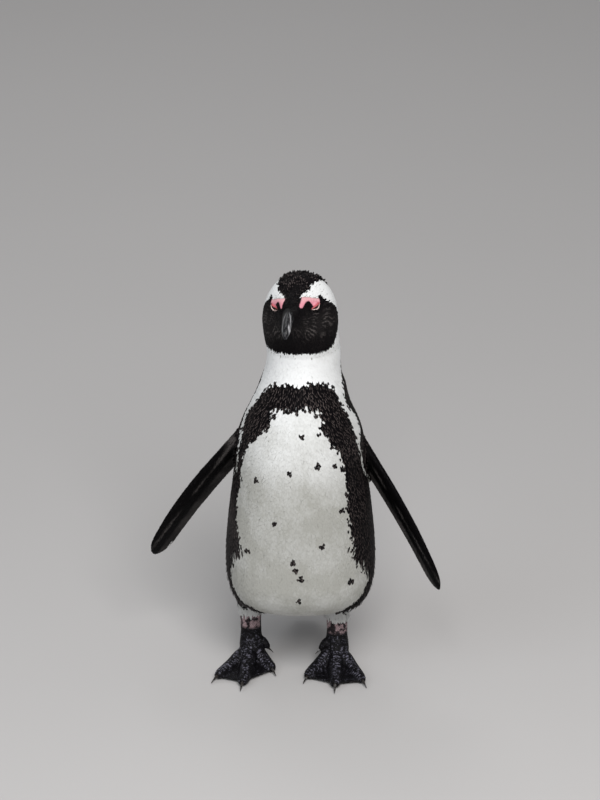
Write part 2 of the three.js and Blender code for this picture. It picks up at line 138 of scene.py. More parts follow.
def normals(mesh):
    return read_column(mesh.vertex_normals, "vector", 3).astype(float)


def edges_of(mesh):
    return read_column(mesh.edges, "vertices", 2, np.int32)


def field(mesh, name):
    """The values of a named attribute, one for each vertex."""
    data = mesh.attributes[name].data
    if mesh.attributes[name].data_type == "FLOAT_VECTOR":
        return read_column(data, "vector", 3).astype(float)
    return read_column(data, "value", 1).astype(float)


def store(mesh, name, values):
    kind = "FLOAT_VECTOR" if values.ndim == 2 else "FLOAT"
    attribute = mesh.attributes.get(name) or mesh.attributes.new(name, kind, "POINT")
    key = "vector" if values.ndim == 2 else "value"
    attribute.data.foreach_set(key, values.astype(np.float32).ravel())


def relax(values, edges, share, rounds):
    """Evens values out over a mesh: each round moves them by `share` towards their neighbours' mean."""
    here, there = np.concatenate([edges, edges[:, ::-1]]).T
    columns = values.reshape(len(values), -1).T.copy()
    count = np.maximum(np.bincount(here, minlength=len(values)), 1)
    for _ in range(rounds):
        for column in columns:
            mean = np.bincount(here, column[there], len(values)) / count
            column += (mean - column) * share
    return columns.T.reshape(values.shape)


def ripple(at, size, seed):
    """A smooth random field between about -1 and 1 over points in millimetres."""
    rng = np.random.default_rng(seed)
    ways = unit(rng.normal(size=(9, 3))) * rng.uniform(0.7, 1.4, (9, 1)) * 2 * math.pi / size
    shifts = rng.uniform(0, 2 * math.pi, 9)
    return np.sin(at @ ways.T + shifts).sum(1) / 4


# ---- the body's own coordinates --------------------------------------------------------------


def turn_at(height):
    return HEAD_TURN * smoothstep(height, TURN_FROM, TURN_TO)


class Place:
    """Points of the bird as the markings know them: millimetres from its axis, angles in degrees.

    `angle` runs round the body from the middle of the breast, positive to the bird's left. The
    `head_` values turn with the head, and `head_z` leans with it.
    """

    def __init__(self, at):
        self.x, self.y, self.z = (at - AXIS).T
        self.angle = np.degrees(np.arctan2(self.x, -self.y))
        self.away = np.abs(self.angle)
        self.left = self.x > 0
        turn = np.radians(-turn_at(self.z))
        self.head_x = self.x * np.cos(turn) - self.y * np.sin(turn)
        self.head_y = self.x * np.sin(turn) + self.y * np.cos(turn)
        self.head_angle = np.degrees(np.arctan2(self.head_x, -self.head_y))
        lean = math.tan(HEAD_TILT) * smoothstep(self.z, TILT_FROM, TURN_TO)
        self.head_z = self.z - self.head_x * lean


def along(stations, at):
    """A value named at a few stations, straight between them."""
    where, value = zip(*sorted(stations))
    return np.interp(at, where, value)


# ---- markings --------------------------------------------------------------------------------

BLACK, TIPPED, WHITE = 0.0, 0.5, 1.0  # a tipped feather is white with a dark end

# Angles run round the body from the middle of the breast, for the bird's two sides.
# The black band over the breast: its upper edge, as a height at each angle.
BAND_TOP = [(0, 377.5), (10, 378), (18, 379), (28, 376), (38, 375.5), (43, 373), (49, 369.5)]
BAND_TOP += [(56, 362), (90, 352)]
# Its inner edge, round the white belly, as an angle at each height.
BELLY_LEFT = [(74, 58), (80, 48), (88, 42), (94, 41), (105, 56), (123, 63), (130, 66), (143, 60), (156, 52)]
BELLY_LEFT += [(170, 45.5), (191, 43.7), (218, 40.4), (243, 40.4), (280, 39.4), (305, 35.4), (312, 28.7)]
BELLY_LEFT += [(321, 27), (330, 19), (339, 23.6), (350, 22), (353.5, 0)]
BELLY_RIGHT = [(74, 58), (80, 48), (88, 42), (95, 45), (103, 60), (117, 67), (126, 69), (137, 68), (151, 65)]
BELLY_RIGHT += [(163, 58), (176, 53), (206, 61), (229, 64), (256, 61), (267, 63), (294, 58), (308, 51)]
BELLY_RIGHT += [(324, 38.6), (333, 32), (341, 36), (347, 36.7), (350, 26), (353.5, 0)]
# Its outer edge, where the white stripe begins that runs from the neck past the flipper to the thigh.
BAND_LEFT = [(100, 99), (200, 95), (240, 88), (255, 71), (263, 67.5), (284, 66), (298, 63), (314, 62)]
BAND_LEFT += [(335, 62), (345, 59.8), (354, 55.7), (368, 50)]
BAND_RIGHT = [(100, 99), (200, 95), (240, 88), (263, 71), (290, 71), (307, 71), (314, 75.3), (322, 80)]
BAND_RIGHT += [(336, 75.7), (348, 69), (361, 60), (370, 50)]
# Where the black of the back begins behind the stripe.
BACK_LEFT = [(100, 109), (200, 104), (240, 93), (255, 76.5), (263, 72.5), (284, 70.5), (292, 68), (300, 71)]
BACK_LEFT += [(306, 80), (313, 84), (322, 84), (330, 80), (337, 72), (350, 72), (358, 77), (366, 83)]
BACK_RIGHT = [(100, 109), (200, 104), (240, 93), (263, 75.5), (284, 76), (292, 77.5), (303, 79), (310, 82)]
BACK_RIGHT += [(316, 87), (322, 91), (338, 96), (357, 90), (366, 88)]
# Where the black of the nape begins behind the cheeks, as an angle round the head at each height.
NAPE_FOOT, NAPE_TOP = 366, 486
NAPE_FORWARD = 5  # it comes this much further round on the left, below this height
NAPE_EVEN = 396
NAPE = [(366, 88), (375, 92), (384, 97), (395, 106), (410, 112), (420, 113), (450, 116), (470, 122)]

# Dark spots on the white underparts: to the side, and height. The two kinds have these radii.
SPOT_SIZE, SMALL_SPOT_SIZE = 3.1, 2.4
SPOTS = [(1.5, 323), (-12.4, 282.5), (19.5, 290.6), (38.5, 286), (48, 280), (-50.5, 266), (47, 230)]
SPOTS += [(-30, 218), (24.6, 189), (-60, 174), (-8.6, 169), (-6.3, 159), (0.6, 148), (57, 136), (-2, 118)]
SMALL_SPOTS = [(-16.6, 350), (-4, 348), (4.3, 351), (18.2, 344.5), (24, 344), (-30, 341), (-39.6, 324.5)]

# The head. The crown's black stripe widens from the bill to the nape: half its width and its middle
# line, from front to back. The black mask lies below the brow and ends behind the cheek: heights at
# each angle round the head from the bill, and angles at each height.
HEAD_FOOT = 409  # the head's markings take over from the body's at this height
CROWN_FRONT, CROWN_BACK = 470, 440  # the stripe ends at these heights before and behind
CROWN_HALF = [(-41, 7.8), (-35, 9.5), (-27, 13.2), (-21, 16.9), (-13, 18.5), (-5, 20.8)]
CROWN_HALF += [(2, 21.8), (14, 24), (30, 31), (38, 44)]
CROWN_MIDDLE = [(-41, -1.3), (-35, -0.9), (-27, -2.9), (-13, -3.5), (-5, -3.7), (2, -2.7), (14, -1)]
BROW = [(0, 486), (9, 485), (12, 484), (19, 483), (30, 481), (45, 476.8), (50, 476), (52, 477.6), (60, 477.4)]
BROW += [(70, 470.5), (88, 459), (94, 453), (120, 440)]
CHEEK_BACK = [(405, 60), (415.7, 72), (421, 81), (430, 90), (438, 93.5), (446, 95.6), (454, 94), (470, 95)]
MASK_FOOT = [(0, 416.7), (15, 415.2), (33, 413.7), (60, 413.7), (72, 415.7), (95, 425)]
# The bare pink patches reach from the brow down to this edge, between these angles.
PINK_FOOT = [(9.3, 481), (11.5, 476.5), (14.5, 475.5), (17.5, 478), (21, 479.6), (26, 479.2), (30, 475.5)]
PINK_FOOT += [(33, 471.5), (36, 469), (45, 469.5), (51, 473)]
PINK_FROM_LEFT, PINK_FROM_RIGHT, PINK_TO = 9.3, 12.5, 51.0
PINK_SLANT = 5.0  # the upper inner corner of the left patch is cut back by this angle
PINK_CORNER = (476, 485)  # between these heights
FACE_DEGREE = 0.7  # millimetres of the face to one degree round the head


def pink_patch(place):
    """The bare pink skin over each eye: 1 inside, falling to 0 over its edge."""
    away = np.abs(place.head_angle)
    above = along(PINK_FOOT, away) - place.head_z
    corner = PINK_SLANT * smoothstep(place.head_z, *PINK_CORNER)
    start = np.where(place.head_x > 0, PINK_FROM_LEFT + corner, PINK_FROM_RIGHT)
    inside = np.minimum.reduce([
        -above,
        along(BROW, away) - place.head_z,
        (away - start) * FACE_DEGREE,
        (PINK_TO - away) * FACE_DEGREE,
    ])
    return smoothstep(inside, -0.5, 0.5)


def spotted(at):
    """Where the dark spots lie on the white underparts."""
    place = Place(at)
    found = np.zeros(len(at), bool)
    for spots, size in ((SPOTS, SPOT_SIZE), (SMALL_SPOTS, SMALL_SPOT_SIZE)):
        for across, height in spots:
            found |= np.hypot(place.x - across, place.z - height) < size
    return found & (place.y < 0)


def edge_angle(place, left, right):
    """An edge of the markings at each height, from its stations for the bird's two sides."""
    return np.where(place.left, along(left, place.z), along(right, place.z))


def black_body(place):
    band = place.z < along(BAND_TOP, place.away)
    band &= place.away > edge_angle(place, BELLY_LEFT, BELLY_RIGHT)
    band &= place.away < edge_angle(place, BAND_LEFT, BAND_RIGHT)
    forward = np.where(place.left, NAPE_FORWARD * smoothstep(place.z, NAPE_EVEN, NAPE_FOOT), 0)
    nape = np.abs(place.head_angle) > along(NAPE, place.z) - forward
    back = place.away > edge_angle(place, BACK_LEFT, BACK_RIGHT)
    return band | np.where(place.z > NAPE_FOOT, nape, back)


def black_head(place):
    away = np.abs(place.head_angle)
    behind = away > along(NAPE, place.z)
    middle_line = along(CROWN_MIDDLE, place.head_y)
    crown = np.abs(place.head_x - middle_line) < along(CROWN_HALF, place.head_y)
    crown &= (place.head_z > CROWN_FRONT) | (place.head_y > 0)
    crown &= (place.head_z > CROWN_BACK) | behind
    mask = place.head_z < along(BROW, away)
    mask &= away < along(CHEEK_BACK, place.head_z)
    mask &= place.head_z > along(MASK_FOOT, away)
    nape = behind & (place.head_z < NAPE_TOP) & (place.head_y > 0)
    return crown | mask | nape


def black_coat(at):
    """Which of these points carry black feathers."""
    place = Place(at)
    return np.where(place.z > HEAD_FOOT, black_head(place), black_body(place))


# ---- meshes and geometry nodes ---------------------------------------------------------------


def add_object(name, data):
    """Puts a new object with this mesh, lamp or camera in the scene."""
    ob = bpy.data.objects.new(name, data)
    bpy.context.scene.collection.objects.link(ob)
    return ob


def object_from(name, at, faces):
    """A new mesh object from points in millimetres and triangles or quads."""
    mesh = bpy.data.meshes.new(name)
    corners_each = faces.shape[1]
    mesh.vertices.add(len(at))
    mesh.vertices.foreach_set("co", (at * MM).astype(np.float32).ravel())
    mesh.loops.add(faces.size)
    mesh.loops.foreach_set("vertex_index", faces.astype(np.int32).ravel())
    mesh.polygons.add(len(faces))
    mesh.polygons.foreach_set("loop_start", np.arange(0, faces.size, corners_each, dtype=np.int32))
    mesh.update(calc_edges=True)
    mesh.shade_smooth()
    return add_object(name, mesh)


def twin(ob, name):
    """A copy of an object with a mesh of its own."""
    return add_object(name, ob.data.copy())


def cad_copy(name):
    """A CAD node's surface with its shared corners merged, as a bmesh."""
    bm = bmesh.new()
    bm.from_mesh(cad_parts[name].data)
    bmesh.ops.remove_doubles(bm, verts=bm.verts, dist=0.01 * MM)
    bm.normal_update()
    return bm


def evaluated(ob):
    return ob.evaluated_get(bpy.context.evaluated_depsgraph_get())


def modified(ob, kind, **settings):
    """Replaces an object's mesh by what one modifier makes of it."""
    modifier = ob.modifiers.new(kind.title(), kind)
    for key, value in settings.items():
        setattr(modifier, key, value)
    old = ob.data
    made = bpy.data.meshes.new_from_object(evaluated(ob))
    ob.modifiers.clear()
    ob.data = made
    bpy.data.meshes.remove(old)
    return ob


def discard(ob):
    mesh = ob.data
    bpy.data.objects.remove(ob)
    bpy.data.meshes.remove(mesh)


def connect(made, inputs):
    """Gives a node its inputs, by name or number, as values or as what other nodes give."""
    for key, value in inputs.items():
        fits = [i for i in made.inputs if i.enabled and i.name == key]
        socket = made.inputs[key] if isinstance(key, int) else fits[0]
        value = value.socket if isinstance(value, Value) else value
        if isinstance(value, bpy.types.NodeSocket):
            made.id_data.links.new(value, socket)
        else:
            socket.default_value = value


def node(tree, kind, inputs=None, **settings):
    made = tree.nodes.new(kind)
    for key, value in settings.items():
        setattr(made, key, value)
    connect(made, inputs or {})
    return made


def out(made, name=0):
    """A node's output, by its name or its number among those in use."""
    in_use = [o for o in made.outputs if o.enabled]
    return in_use[name] if isinstance(name, int) else next(o for o in in_use if o.name == name)


def geometry_group(name):
    tree = bpy.data.node_groups.new(name, "GeometryNodeTree")
    for way in ("INPUT", "OUTPUT"):
        tree.interface.new_socket("Geometry", in_out=way, socket_type="NodeSocketGeometry")
    return tree, out(tree.nodes.new("NodeGroupInput"))


def run_group(ob, tree, geometry, read):
    """Runs a geometry group on an object, reads its result and takes the group away again."""
    node(tree, "NodeGroupOutput", {0: geometry})
    modifier = ob.modifiers.new(tree.name, "NODES")
    modifier.node_group = tree
    found = read(evaluated(ob).data)
    ob.modifiers.clear()
    bpy.data.node_groups.remove(tree)
    return found


def sample_nearest(ob, surface, fields):
    """The named fields of a surface, and its nearest place, at every vertex of an object."""
    tree, geometry = geometry_group("Nearest surface")
    source = node(tree, "GeometryNodeObjectInfo", {"Object": surface})
    mesh = out(source, "Geometry")
    nearest = node(tree, "GeometryNodeProximity", {0: mesh}, target_element="FACES")
    samples = {"nearest": ("FLOAT_VECTOR", out(nearest, "Position"))}
    for name, kind in fields.items():
        value = node(tree, "GeometryNodeInputNamedAttribute", {"Name": name}, data_type=kind)
        inputs = {"Mesh": mesh, "Value": out(value, "Attribute")}
        sampled = node(tree, "GeometryNodeSampleNearestSurface", inputs, data_type=kind)
        samples[name] = (kind, out(sampled, "Value"))
    for name, (kind, value) in samples.items():
        inputs = {"Geometry": geometry, "Name": name, "Value": value}
        kept = node(tree, "GeometryNodeStoreNamedAttribute", inputs, data_type=kind, domain="POINT")
        geometry = out(kept)
    return run_group(ob, tree, geometry, lambda mesh: {name: field(mesh, name) for name in samples})


def scatter(surface, tract, spacing, seed, fields):
    """Even random points over one tract of a surface, at least `spacing` millimetres apart."""
    tree, geometry = geometry_group("Feather roots")
    value = node(tree, "GeometryNodeInputNamedAttribute", {"Name": "tract"}, data_type="FLOAT")
    inputs = {0: out(value, "Attribute"), 1: float(tract), 2: 0.5}
    here = node(tree, "ShaderNodeMath", inputs, operation="COMPARE")
    inputs = {"Mesh": geometry, "Distance Min": spacing * MM, "Density Max": 3 / (spacing * MM) ** 2}
    inputs.update({"Density Factor": out(here), "Seed": seed})
    spread = node(tree, "GeometryNodeDistributePointsOnFaces", inputs, distribute_method="POISSON")
    points = node(tree, "GeometryNodePointsToVertices", {0: out(spread, "Points")})

    def read(mesh):
        return {"root": places(mesh), **{name: field(mesh, name) for name in fields}}

    return run_group(surface, tree, out(points), read)


# ---- skin ------------------------------------------------------------------------------------

OVERLAP = 0.35  # each CAD piece grows by this before they join, to close the thin gaps between them
SMOOTHING_ROUNDS, GIRTH_ROUNDS = 90, 60  # rounds that even the facets out, and that give the girth back
HOLLOW_EDGE = 0.4  # corners of the head this near to the bill or an eyeball lie round its hollow
FACE_FOOT = 440  # all skin above this height is the head's
SOFTNESS = {"body": 0.5, "head": 0.32, "legs": 0.12, "feet": 0.05}  # how far each part's facets even out

EYE_LOW, EYE_HIGH = corners("eye_left")
EYE_RADIUS = float((EYE_HIGH - EYE_LOW).max() / 2)
EYE_ANGLE = 30.0  # degrees out from the line between the eyes
EYE_UPWARDS = 0.45  # and this share of the way up
SLIT_SLANT = math.radians(20)  # the outer corner stands higher
SLIT_HALF, SLIT_OPEN, SLIT_BOW = 5.1, 2.6, 1.3  # half its length, its height, and how far it sags
SLIT_SHIFT = {"left": 0.0, "right": 0.8}  # how far the slit lies from the eyeball's middle, to the bill
LID = 0.75  # how far the lids stand over the eyeball
LID_REACH = 4.5  # the lids run out into the face over this distance
LOWER_RIM, UPPER_RIM, LID_CREASE = 0.3, 0.25, 0.3  # heights of the lids' rims, and depth of the crease
LID_CLEAR = 0.4  # the skin round the slit stays at least this far off the eyeball
EYE_SUNK = 1.4  # inside the slit the skin passes this far behind the eyeball's face
UPPER_LID = (4.2, 3.4)  # the bare skin of the upper lid ends between these distances from the slit

ANKLE_BACK = 2.0  # the toes spread from this far behind the shank's middle
SCUTE = 3.5  # length of one scute along a toe
TOE_HALF = 6.5  # half the width of a toe's row of scutes
SCUTE_HEIGHT, PEBBLE_HEIGHT = 0.45, 0.3
FLUFF_FOOT = (62.0, 69.0)  # height where the fluff of the left and the right thigh ends
THIGH_FOOT = (68.0, 77.0)  # height where the black fringe of each thigh ends
THIGH_OUT = 50.0  # it hangs this far out from the body's middle
FLUFF_RAGGED = 2.2
FLUFF_THINS = (58, 68)  # the coat of the legs thins out between these heights
PINK_ANKLE = (38.0, 43.0)  # height where the pinkish skin of each ankle begins


def flesh_shell():
    """The CAD nodes of flesh as one rough mesh that knows each point's tract."""
    points, faces, tracts, count = [], [], [], 0
    for name in FLESH:
        bm = cad_copy(name)
        grown = [v.co / MM + v.normal * OVERLAP for v in bm.verts]
        points += [np.array(grown)]
        faces += [np.array([[v.index + count for v in f.verts] for f in bm.faces])]
        tracts += [np.full(len(grown), TRACTS[TRACT_OF.get(name, name)])]
        count += len(grown)
        bm.free()
    shell = object_from("flesh_shell", np.concatenate(points), np.concatenate(faces))
    store(shell.data, "tract", np.concatenate(tracts).astype(float))
    return shell


def close_hollow(bm, held):
    """Closes a hollow of the head, by the hull of the corners round it."""
    verts = [bm.verts.new(point * MM) for point in held]
    hull = bmesh.ops.convex_hull(bm, input=verts)
    spare = {v for v in hull["geom_interior"] + hull["geom_unused"] if isinstance(v, bmesh.types.BMVert)}
    bmesh.ops.delete(bm, geom=list(spare), context="VERTS")


def fill_hollows(shell):
    """Fills the sockets of the eyes and the hole round the bill, so that the skin runs across them."""
    head = places(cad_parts["head"].data)
    bm = bmesh.new()
    bm.from_mesh(shell.data)
    for side in ("left", "right"):
        away = np.linalg.norm(head - middle(f"eye_{side}"), axis=1)
        close_hollow(bm, head[away < EYE_RADIUS + HOLLOW_EDGE])
    low, high = corners("bill_upper")
    under, _ = corners("bill_lower")
    around = (head > np.minimum(low, under) - HOLLOW_EDGE) & (head < high + HOLLOW_EDGE)
    close_hollow(bm, head[around.all(1)])
    bm.to_mesh(shell.data)
    bm.free()
    return shell


def blade_frame(name):
    """A flat part's own directions: its middle, its length, its width and the way its flat side faces."""
    at = places(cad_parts[name].data)
    centre = at.mean(0)
    _, _, (length, width, face) = np.linalg.svd(at - centre, full_matrices=False)
    length = length * (-1 if length[2] > 0 else 1)
    width = width * (1 if name == "tail" or width[1] > 0 else -1)
    face = np.cross(length, width)
    if name != "tail" and face[0] * (centre[0] - AXIS[0]) < 0:
        face = -face
    return centre, length, width, face


BLADES = {name: blade_frame(name) for name in ("flipper_left", "flipper_right", "tail")}


def softness(tract, up):
    """How strongly the facets of each part are smoothed out. Thin edges keep their shape."""
    share = np.zeros(len(tract))
    for name, amount in SOFTNESS.items():
        share[tract == TRACTS[name]] = amount
    for name, (_, _, _, face) in BLADES.items():
        here = tract == TRACTS[name]
        flat = smoothstep(np.abs(up[here] @ face), 0.6, 0.95)
        share[here] = 0.03 + 0.35 * flat
    return share


def coat_depth(tract, place):
    """How far under the coat's outline the skin lies, in millimetres. Bare skin lies near the outline."""
    coat = bpy.context.scene.penguin_plumage
    depth = np.zeros(len(tract))
    depth[tract == TRACTS["body"]] = coat.body_lift / MM
    head = tract == TRACTS["head"]
    depth[head] = mix(coat.head_lift / MM, 0.2, pink_patch(place))[head]
    for name in BLADES:
        depth[tract == TRACTS[name]] = coat.flipper_lift / MM
    legs = tract == TRACTS["legs"]
    depth[legs] = (coat.body_lift / MM * smoothstep(place.z, *FLUFF_THINS))[legs]
    return depth


def eye_frame(side):
    """An eye's centre and its directions: out of the face, towards the temple, and up."""
    sign = 1 if side == "left" else -1
    centre = middle(f"eye_{side}")
    out_angle = math.radians(EYE_ANGLE * sign + FACE_TURN)
    outwards = unit(np.array([math.sin(out_angle), -math.cos(out_angle), EYE_UPWARDS]))
    upwards = unit(np.array([0, 0, 1]) - outwards * outwards[2])
    temple = np.cross(upwards, outwards) * sign
    return centre, outwards, temple, upwards


def slit_distance(along_slit, across_slit):
    """Distance outside the opening between the lids, negative inside it."""
    share = np.clip(along_slit / SLIT_HALF, -1, 1)
    bow = SLIT_BOW * (1 - share**2)
    half = SLIT_OPEN / 2 * (1 - share**2) ** 0.8
    past = np.maximum(np.abs(along_slit) - SLIT_HALF, 0)
    return np.hypot(np.abs(across_slit + bow), past) - half


def eye_place(at, side):
    """Where points lie round an eye: along and across the slit, out of the face, and from the lids."""
    centre, outwards, temple, upwards = eye_frame(side)
    held = at - centre
    over, up = held @ temple, held @ upwards
    cos, sin = math.cos(SLIT_SLANT), math.sin(SLIT_SLANT)
    along_slit, across_slit = over * cos + up * sin + SLIT_SHIFT[side], up * cos - over * sin
    return along_slit, across_slit, held @ outwards, slit_distance(along_slit, across_slit)


def close_lids(at):
    """Wraps the skin round each eyeball as two lids with a slit between them."""
    for side in ("left", "right"):
        over, across, height, gap = eye_place(at, side)
        _, outwards, _, _ = eye_frame(side)
        from_centre = np.hypot(over, across)
        near = (from_centre < EYE_RADIUS) & (height > 2)
        room = np.sqrt(np.maximum(EYE_RADIUS**2 - from_centre**2, 0))
        lid = np.sqrt(np.maximum((EYE_RADIUS + LID) ** 2 - from_centre**2, 0))
        level = mix(lid, height, smoothstep(gap, 0.6, LID_REACH))
        # A thick rim along the slit, and a crease outside it.
        lower = across < -SLIT_BOW * 0.5
        level += np.where(lower, LOWER_RIM * hump(gap, 0.45, 0.4), UPPER_RIM * hump(gap, 0.5, 0.5))
        level -= LID_CREASE * hump(gap, np.where(lower, 1.9, 2.4), 0.45)
        level = np.where(gap > 0.3, np.maximum(level, room + LID_CLEAR), level)
        level = mix(room - EYE_SUNK, level, smoothstep(gap, -0.3, 0.12))
        share = near * smoothstep(EYE_RADIUS - from_centre, 0, 1.5)
        at = at + outwards * ((level - height) * share)[:, None]
    return at


def upper_lids(at):
    """Bare skin between each slit and the pink patch over it: 1 inside, falling to 0 over its edge."""
    share = np.zeros(len(at))
    for side in ("left", "right"):
        over, across, height, gap = eye_place(at, side)
        near = (np.hypot(over, across) < EYE_RADIUS) & (height > 0) & (across > -SLIT_BOW)
        share = np.maximum(share, near * smoothstep(gap, *UPPER_LID) * smoothstep(over, -3.4, -2.4))
    return share


def bare_face(at):
    """The bare pink skin of the face: the patches over the eyes and the upper lids."""
    return np.maximum(pink_patch(Place(at)), upper_lids(at))


def refine(ob, chosen):
    """Splits the edges of the mesh where `chosen` says so."""
    bm = bmesh.new()
    bm.from_mesh(ob.data)
    here = chosen(places(ob.data))
    edges = [e for e in bm.edges if here[e.verts[0].index] and here[e.verts[1].index]]
    bmesh.ops.subdivide_edges(bm, edges=edges, cuts=1, use_grid_fill=True)
    bmesh.ops.triangulate(bm, faces=[f for f in bm.faces if len(f.verts) > 4])
    bm.to_mesh(ob.data)
    bm.free()


def near_eyes(reach):
    centres = [middle("eye_left"), middle("eye_right")]
    return lambda at: np.minimum(*[np.linalg.norm(at - c, axis=1) for c in centres]) < reach


def toe_lines():
    """Each toe's line over the floor: where the ankle stands, the way to the claw, and how far it is."""
    lines = []
    for side in ("left", "right"):
        ankle = middle(f"leg_{side}") + np.array([0, ANKLE_BACK, 0])
        for toe in ("inner", "middle", "outer"):
            way = (middle(f"claw_{side}_{toe}") - ankle) * (1, 1, 0)
            lines.append((ankle, unit(way), float(np.linalg.norm(way))))
    return lines


def scutes(at, up):
    """How far on a toe each point lies, and the heights of the scutes there and of the pebbles elsewhere."""
    best = np.full(len(at), 1e9)
    rows = np.zeros(len(at))
    for ankle, way, length in toe_lines():
        held = (at - ankle) * (1, 1, 0)
        forward = held @ way
        beside = np.linalg.norm(held - forward[:, None] * way, axis=1)
        beside[(forward < 8) | (forward > length + 2)] = 1e9
        nearer = beside < best
        best[nearer] = beside[nearer]
        rows[nearer] = forward[nearer]
    on_toe = smoothstep(TOE_HALF - best, 0, 3) * smoothstep(up[:, 2], 0.15, 0.6)
    ridge = np.abs(np.sin(math.pi * rows / SCUTE)) ** 0.5
    pebbles = np.abs(ripple(at, 3.2, 5)) ** 0.7
    relief = SCUTE_HEIGHT * on_toe * (ridge - 0.5) + PEBBLE_HEIGHT * (1 - on_toe) * (pebbles - 0.4)
    return on_toe, relief


def bare_feet(place, tract):
    ragged = FLUFF_RAGGED * np.sin(place.x * 1.1) * np.cos(place.y * 0.9)
    hem = np.where(place.left, *FLUFF_FOOT) + ragged
    return (tract == TRACTS["feet"]) | ((tract == TRACTS["legs"]) & (place.z < hem))


def black_thigh(place):
    """The black fringe that hangs over the outer side of each thigh."""
    return (np.abs(place.x) > THIGH_OUT) & (place.z > np.where(place.left, *THIGH_FOOT))


def lid_marks(at):
    """The rims of the lids, below and above the slit, and the flush of the skin towards them."""
    pale, rosy, flush = np.zeros((3, len(at)))
    for side in ("left", "right"):
        over, across, height, gap = eye_place(at, side)
        near = (np.hypot(over, across) < EYE_RADIUS) & (height > 2)
        edge = near * smoothstep(gap, 1.45, 1.05)
        lower = smoothstep(across, 0.2, -0.6)
        pale = np.maximum(pale, edge * lower)
        rosy = np.maximum(rosy, edge * (1 - lower))
        flush = np.maximum(flush, near * smoothstep(gap, 4.2, 0.4))
    return pale, rosy, flush


def paint_skin(mesh, tract):
    """Marks the skin as the coat is marked: black or white, pink, the pale rim of the lids, and the painted
    highlights on the scutes.
    """
    at = places(mesh)
    place = Place(at)
    feet = bare_feet(place, tract)
    legs = tract == TRACTS["legs"]
    tone = np.where(black_coat(at) | spotted(at), BLACK, WHITE)
    for name in BLADES:
        here = tract == TRACTS[name]
        tone[here] = BLACK if name == "tail" else flipper_tone(at[here], name)
    tone[legs] = np.where(black_thigh(place), BLACK, WHITE)[legs]
    tone[feet] = BLACK
    pale, rosy, flush = lid_marks(at)
    pink = np.maximum(bare_face(at) * (tract == TRACTS["head"]), rosy)
    faded = smoothstep(along(BROW, np.abs(place.head_angle)) - place.head_z, 4.5, 0.5)
    rim = np.maximum(pale, 0.35 * faded * pink)
    ankle = smoothstep(place.z - np.where(place.left, *PINK_ANKLE), 0, 5) * legs
    on_toe, relief = scutes(at, normals(mesh))
    # Painted highlights along the raised crest of each scute.
    rows = on_toe * smoothstep(relief, 0.05, 0.2)
    marks = {"tone": tone, "pink": pink, "rim": rim, "flush": flush, "bare": feet.astype(float)}
    marks.update({"ankle": ankle, "scute": rows * feet, "web": (1 - on_toe) * feet})
    for name, values in marks.items():
        store(mesh, name, values)


# ---- the lie of the coat ---------------------------------------------------------------------

BILL_ROOT = np.array([-13.2, -46.3, 465.5])  # where the bill leaves the face, from the body's axis
BILL_WAY = math.radians(-4)
BILL_RISE = 0.0087  # the mouth's line rises a little towards the tip
SPREAD_FROM = (0.4, 8, -2)  # the face's feathers spread out from here, seen from the bill's root
FLANK_TURN = 1.4  # how strongly the feathers of the lower flanks point in towards the belly
FLANK_HEIGHT, FLANK_FOOT = (215, 170), 90  # it begins between these heights and ends at this one
UNDERSIDE = (0.3, 0.85)  # where the skin faces down by this much, feathers point to the back
HEAD_FLOW, FACE_FLOW = (405, 425), (418, 462)  # the flow turns to the head's, and to the face's, here
TAIL_FAN, FLIPPER_SLANT = 0.35, 0.18  # how far feathers turn out over the tail, and back over the flippers
# How far the flippers reach behind their middle line, from the shoulder's end to the tip.
FLIPPER_REACH = [(-90, 20), (-60, 28), (-20, 27), (20, 23), (60, 19), (90, 12), (105, 4)]
WHITE_EDGE = 0.9  # width of the white line along their hind edge


def along_bill(at):
    """Points by the bill: ahead of its root, beside its middle, and above the mouth's line."""
    held = at - AXIS - BILL_ROOT
    way = np.array([math.sin(BILL_WAY), -math.cos(BILL_WAY), 0])
    side = np.array([math.cos(BILL_WAY), math.sin(BILL_WAY), 0])
    ahead, beside = held @ way, held @ side
    return ahead, beside, held[:, 2] - BILL_RISE * ahead - math.tan(HEAD_TILT) * beside


def flow_over(at, up, tract):
    """The way that feathers point, at each place of the skin."""
    place = Place(at)
    down = np.array([0, 0.25, -1.0])
    back = np.array([0, 1.0, -0.25])
    way = mix(down, back, smoothstep(-up[:, 2], *UNDERSIDE)[:, None])
    inwards = np.stack([-np.sign(place.x), np.zeros(len(at)), np.zeros(len(at))], 1)
    flank = smoothstep(place.z, *FLANK_HEIGHT) * hump(place.away, 62, 26) * (place.z > FLANK_FOOT)
    way = way + inwards * (FLANK_TURN * flank)[:, None]
    high = smoothstep(place.z, *FACE_FLOW)[:, None]
    face_way = mix(down, unit(at - AXIS - BILL_ROOT - SPREAD_FROM), high)
    way = mix(way, face_way, smoothstep(place.z, *HEAD_FLOW)[:, None])
    for name, (centre, length, width, _) in BLADES.items():
        here = tract == TRACTS[name]
        fan = TAIL_FAN * ((at[here] - centre) @ width / 40)[:, None] * width
        way[here] = length + (fan if name == "tail" else FLIPPER_SLANT * width)
    way[tract == TRACTS["legs"]] = (0, 0, -1.0)
    way -= up * dot(way, up)[:, None]
    return unit(way)


def flipper_tone(at, name):
    """The flippers are black, with a thin white line along the hind edge."""
    centre, length, width, _ = BLADES[name]
    held = at - centre
    reach = along(FLIPPER_REACH, held @ length)
    return np.where(held @ width > reach - WHITE_EDGE, WHITE, BLACK)


# ---- feathers --------------------------------------------------------------------------------

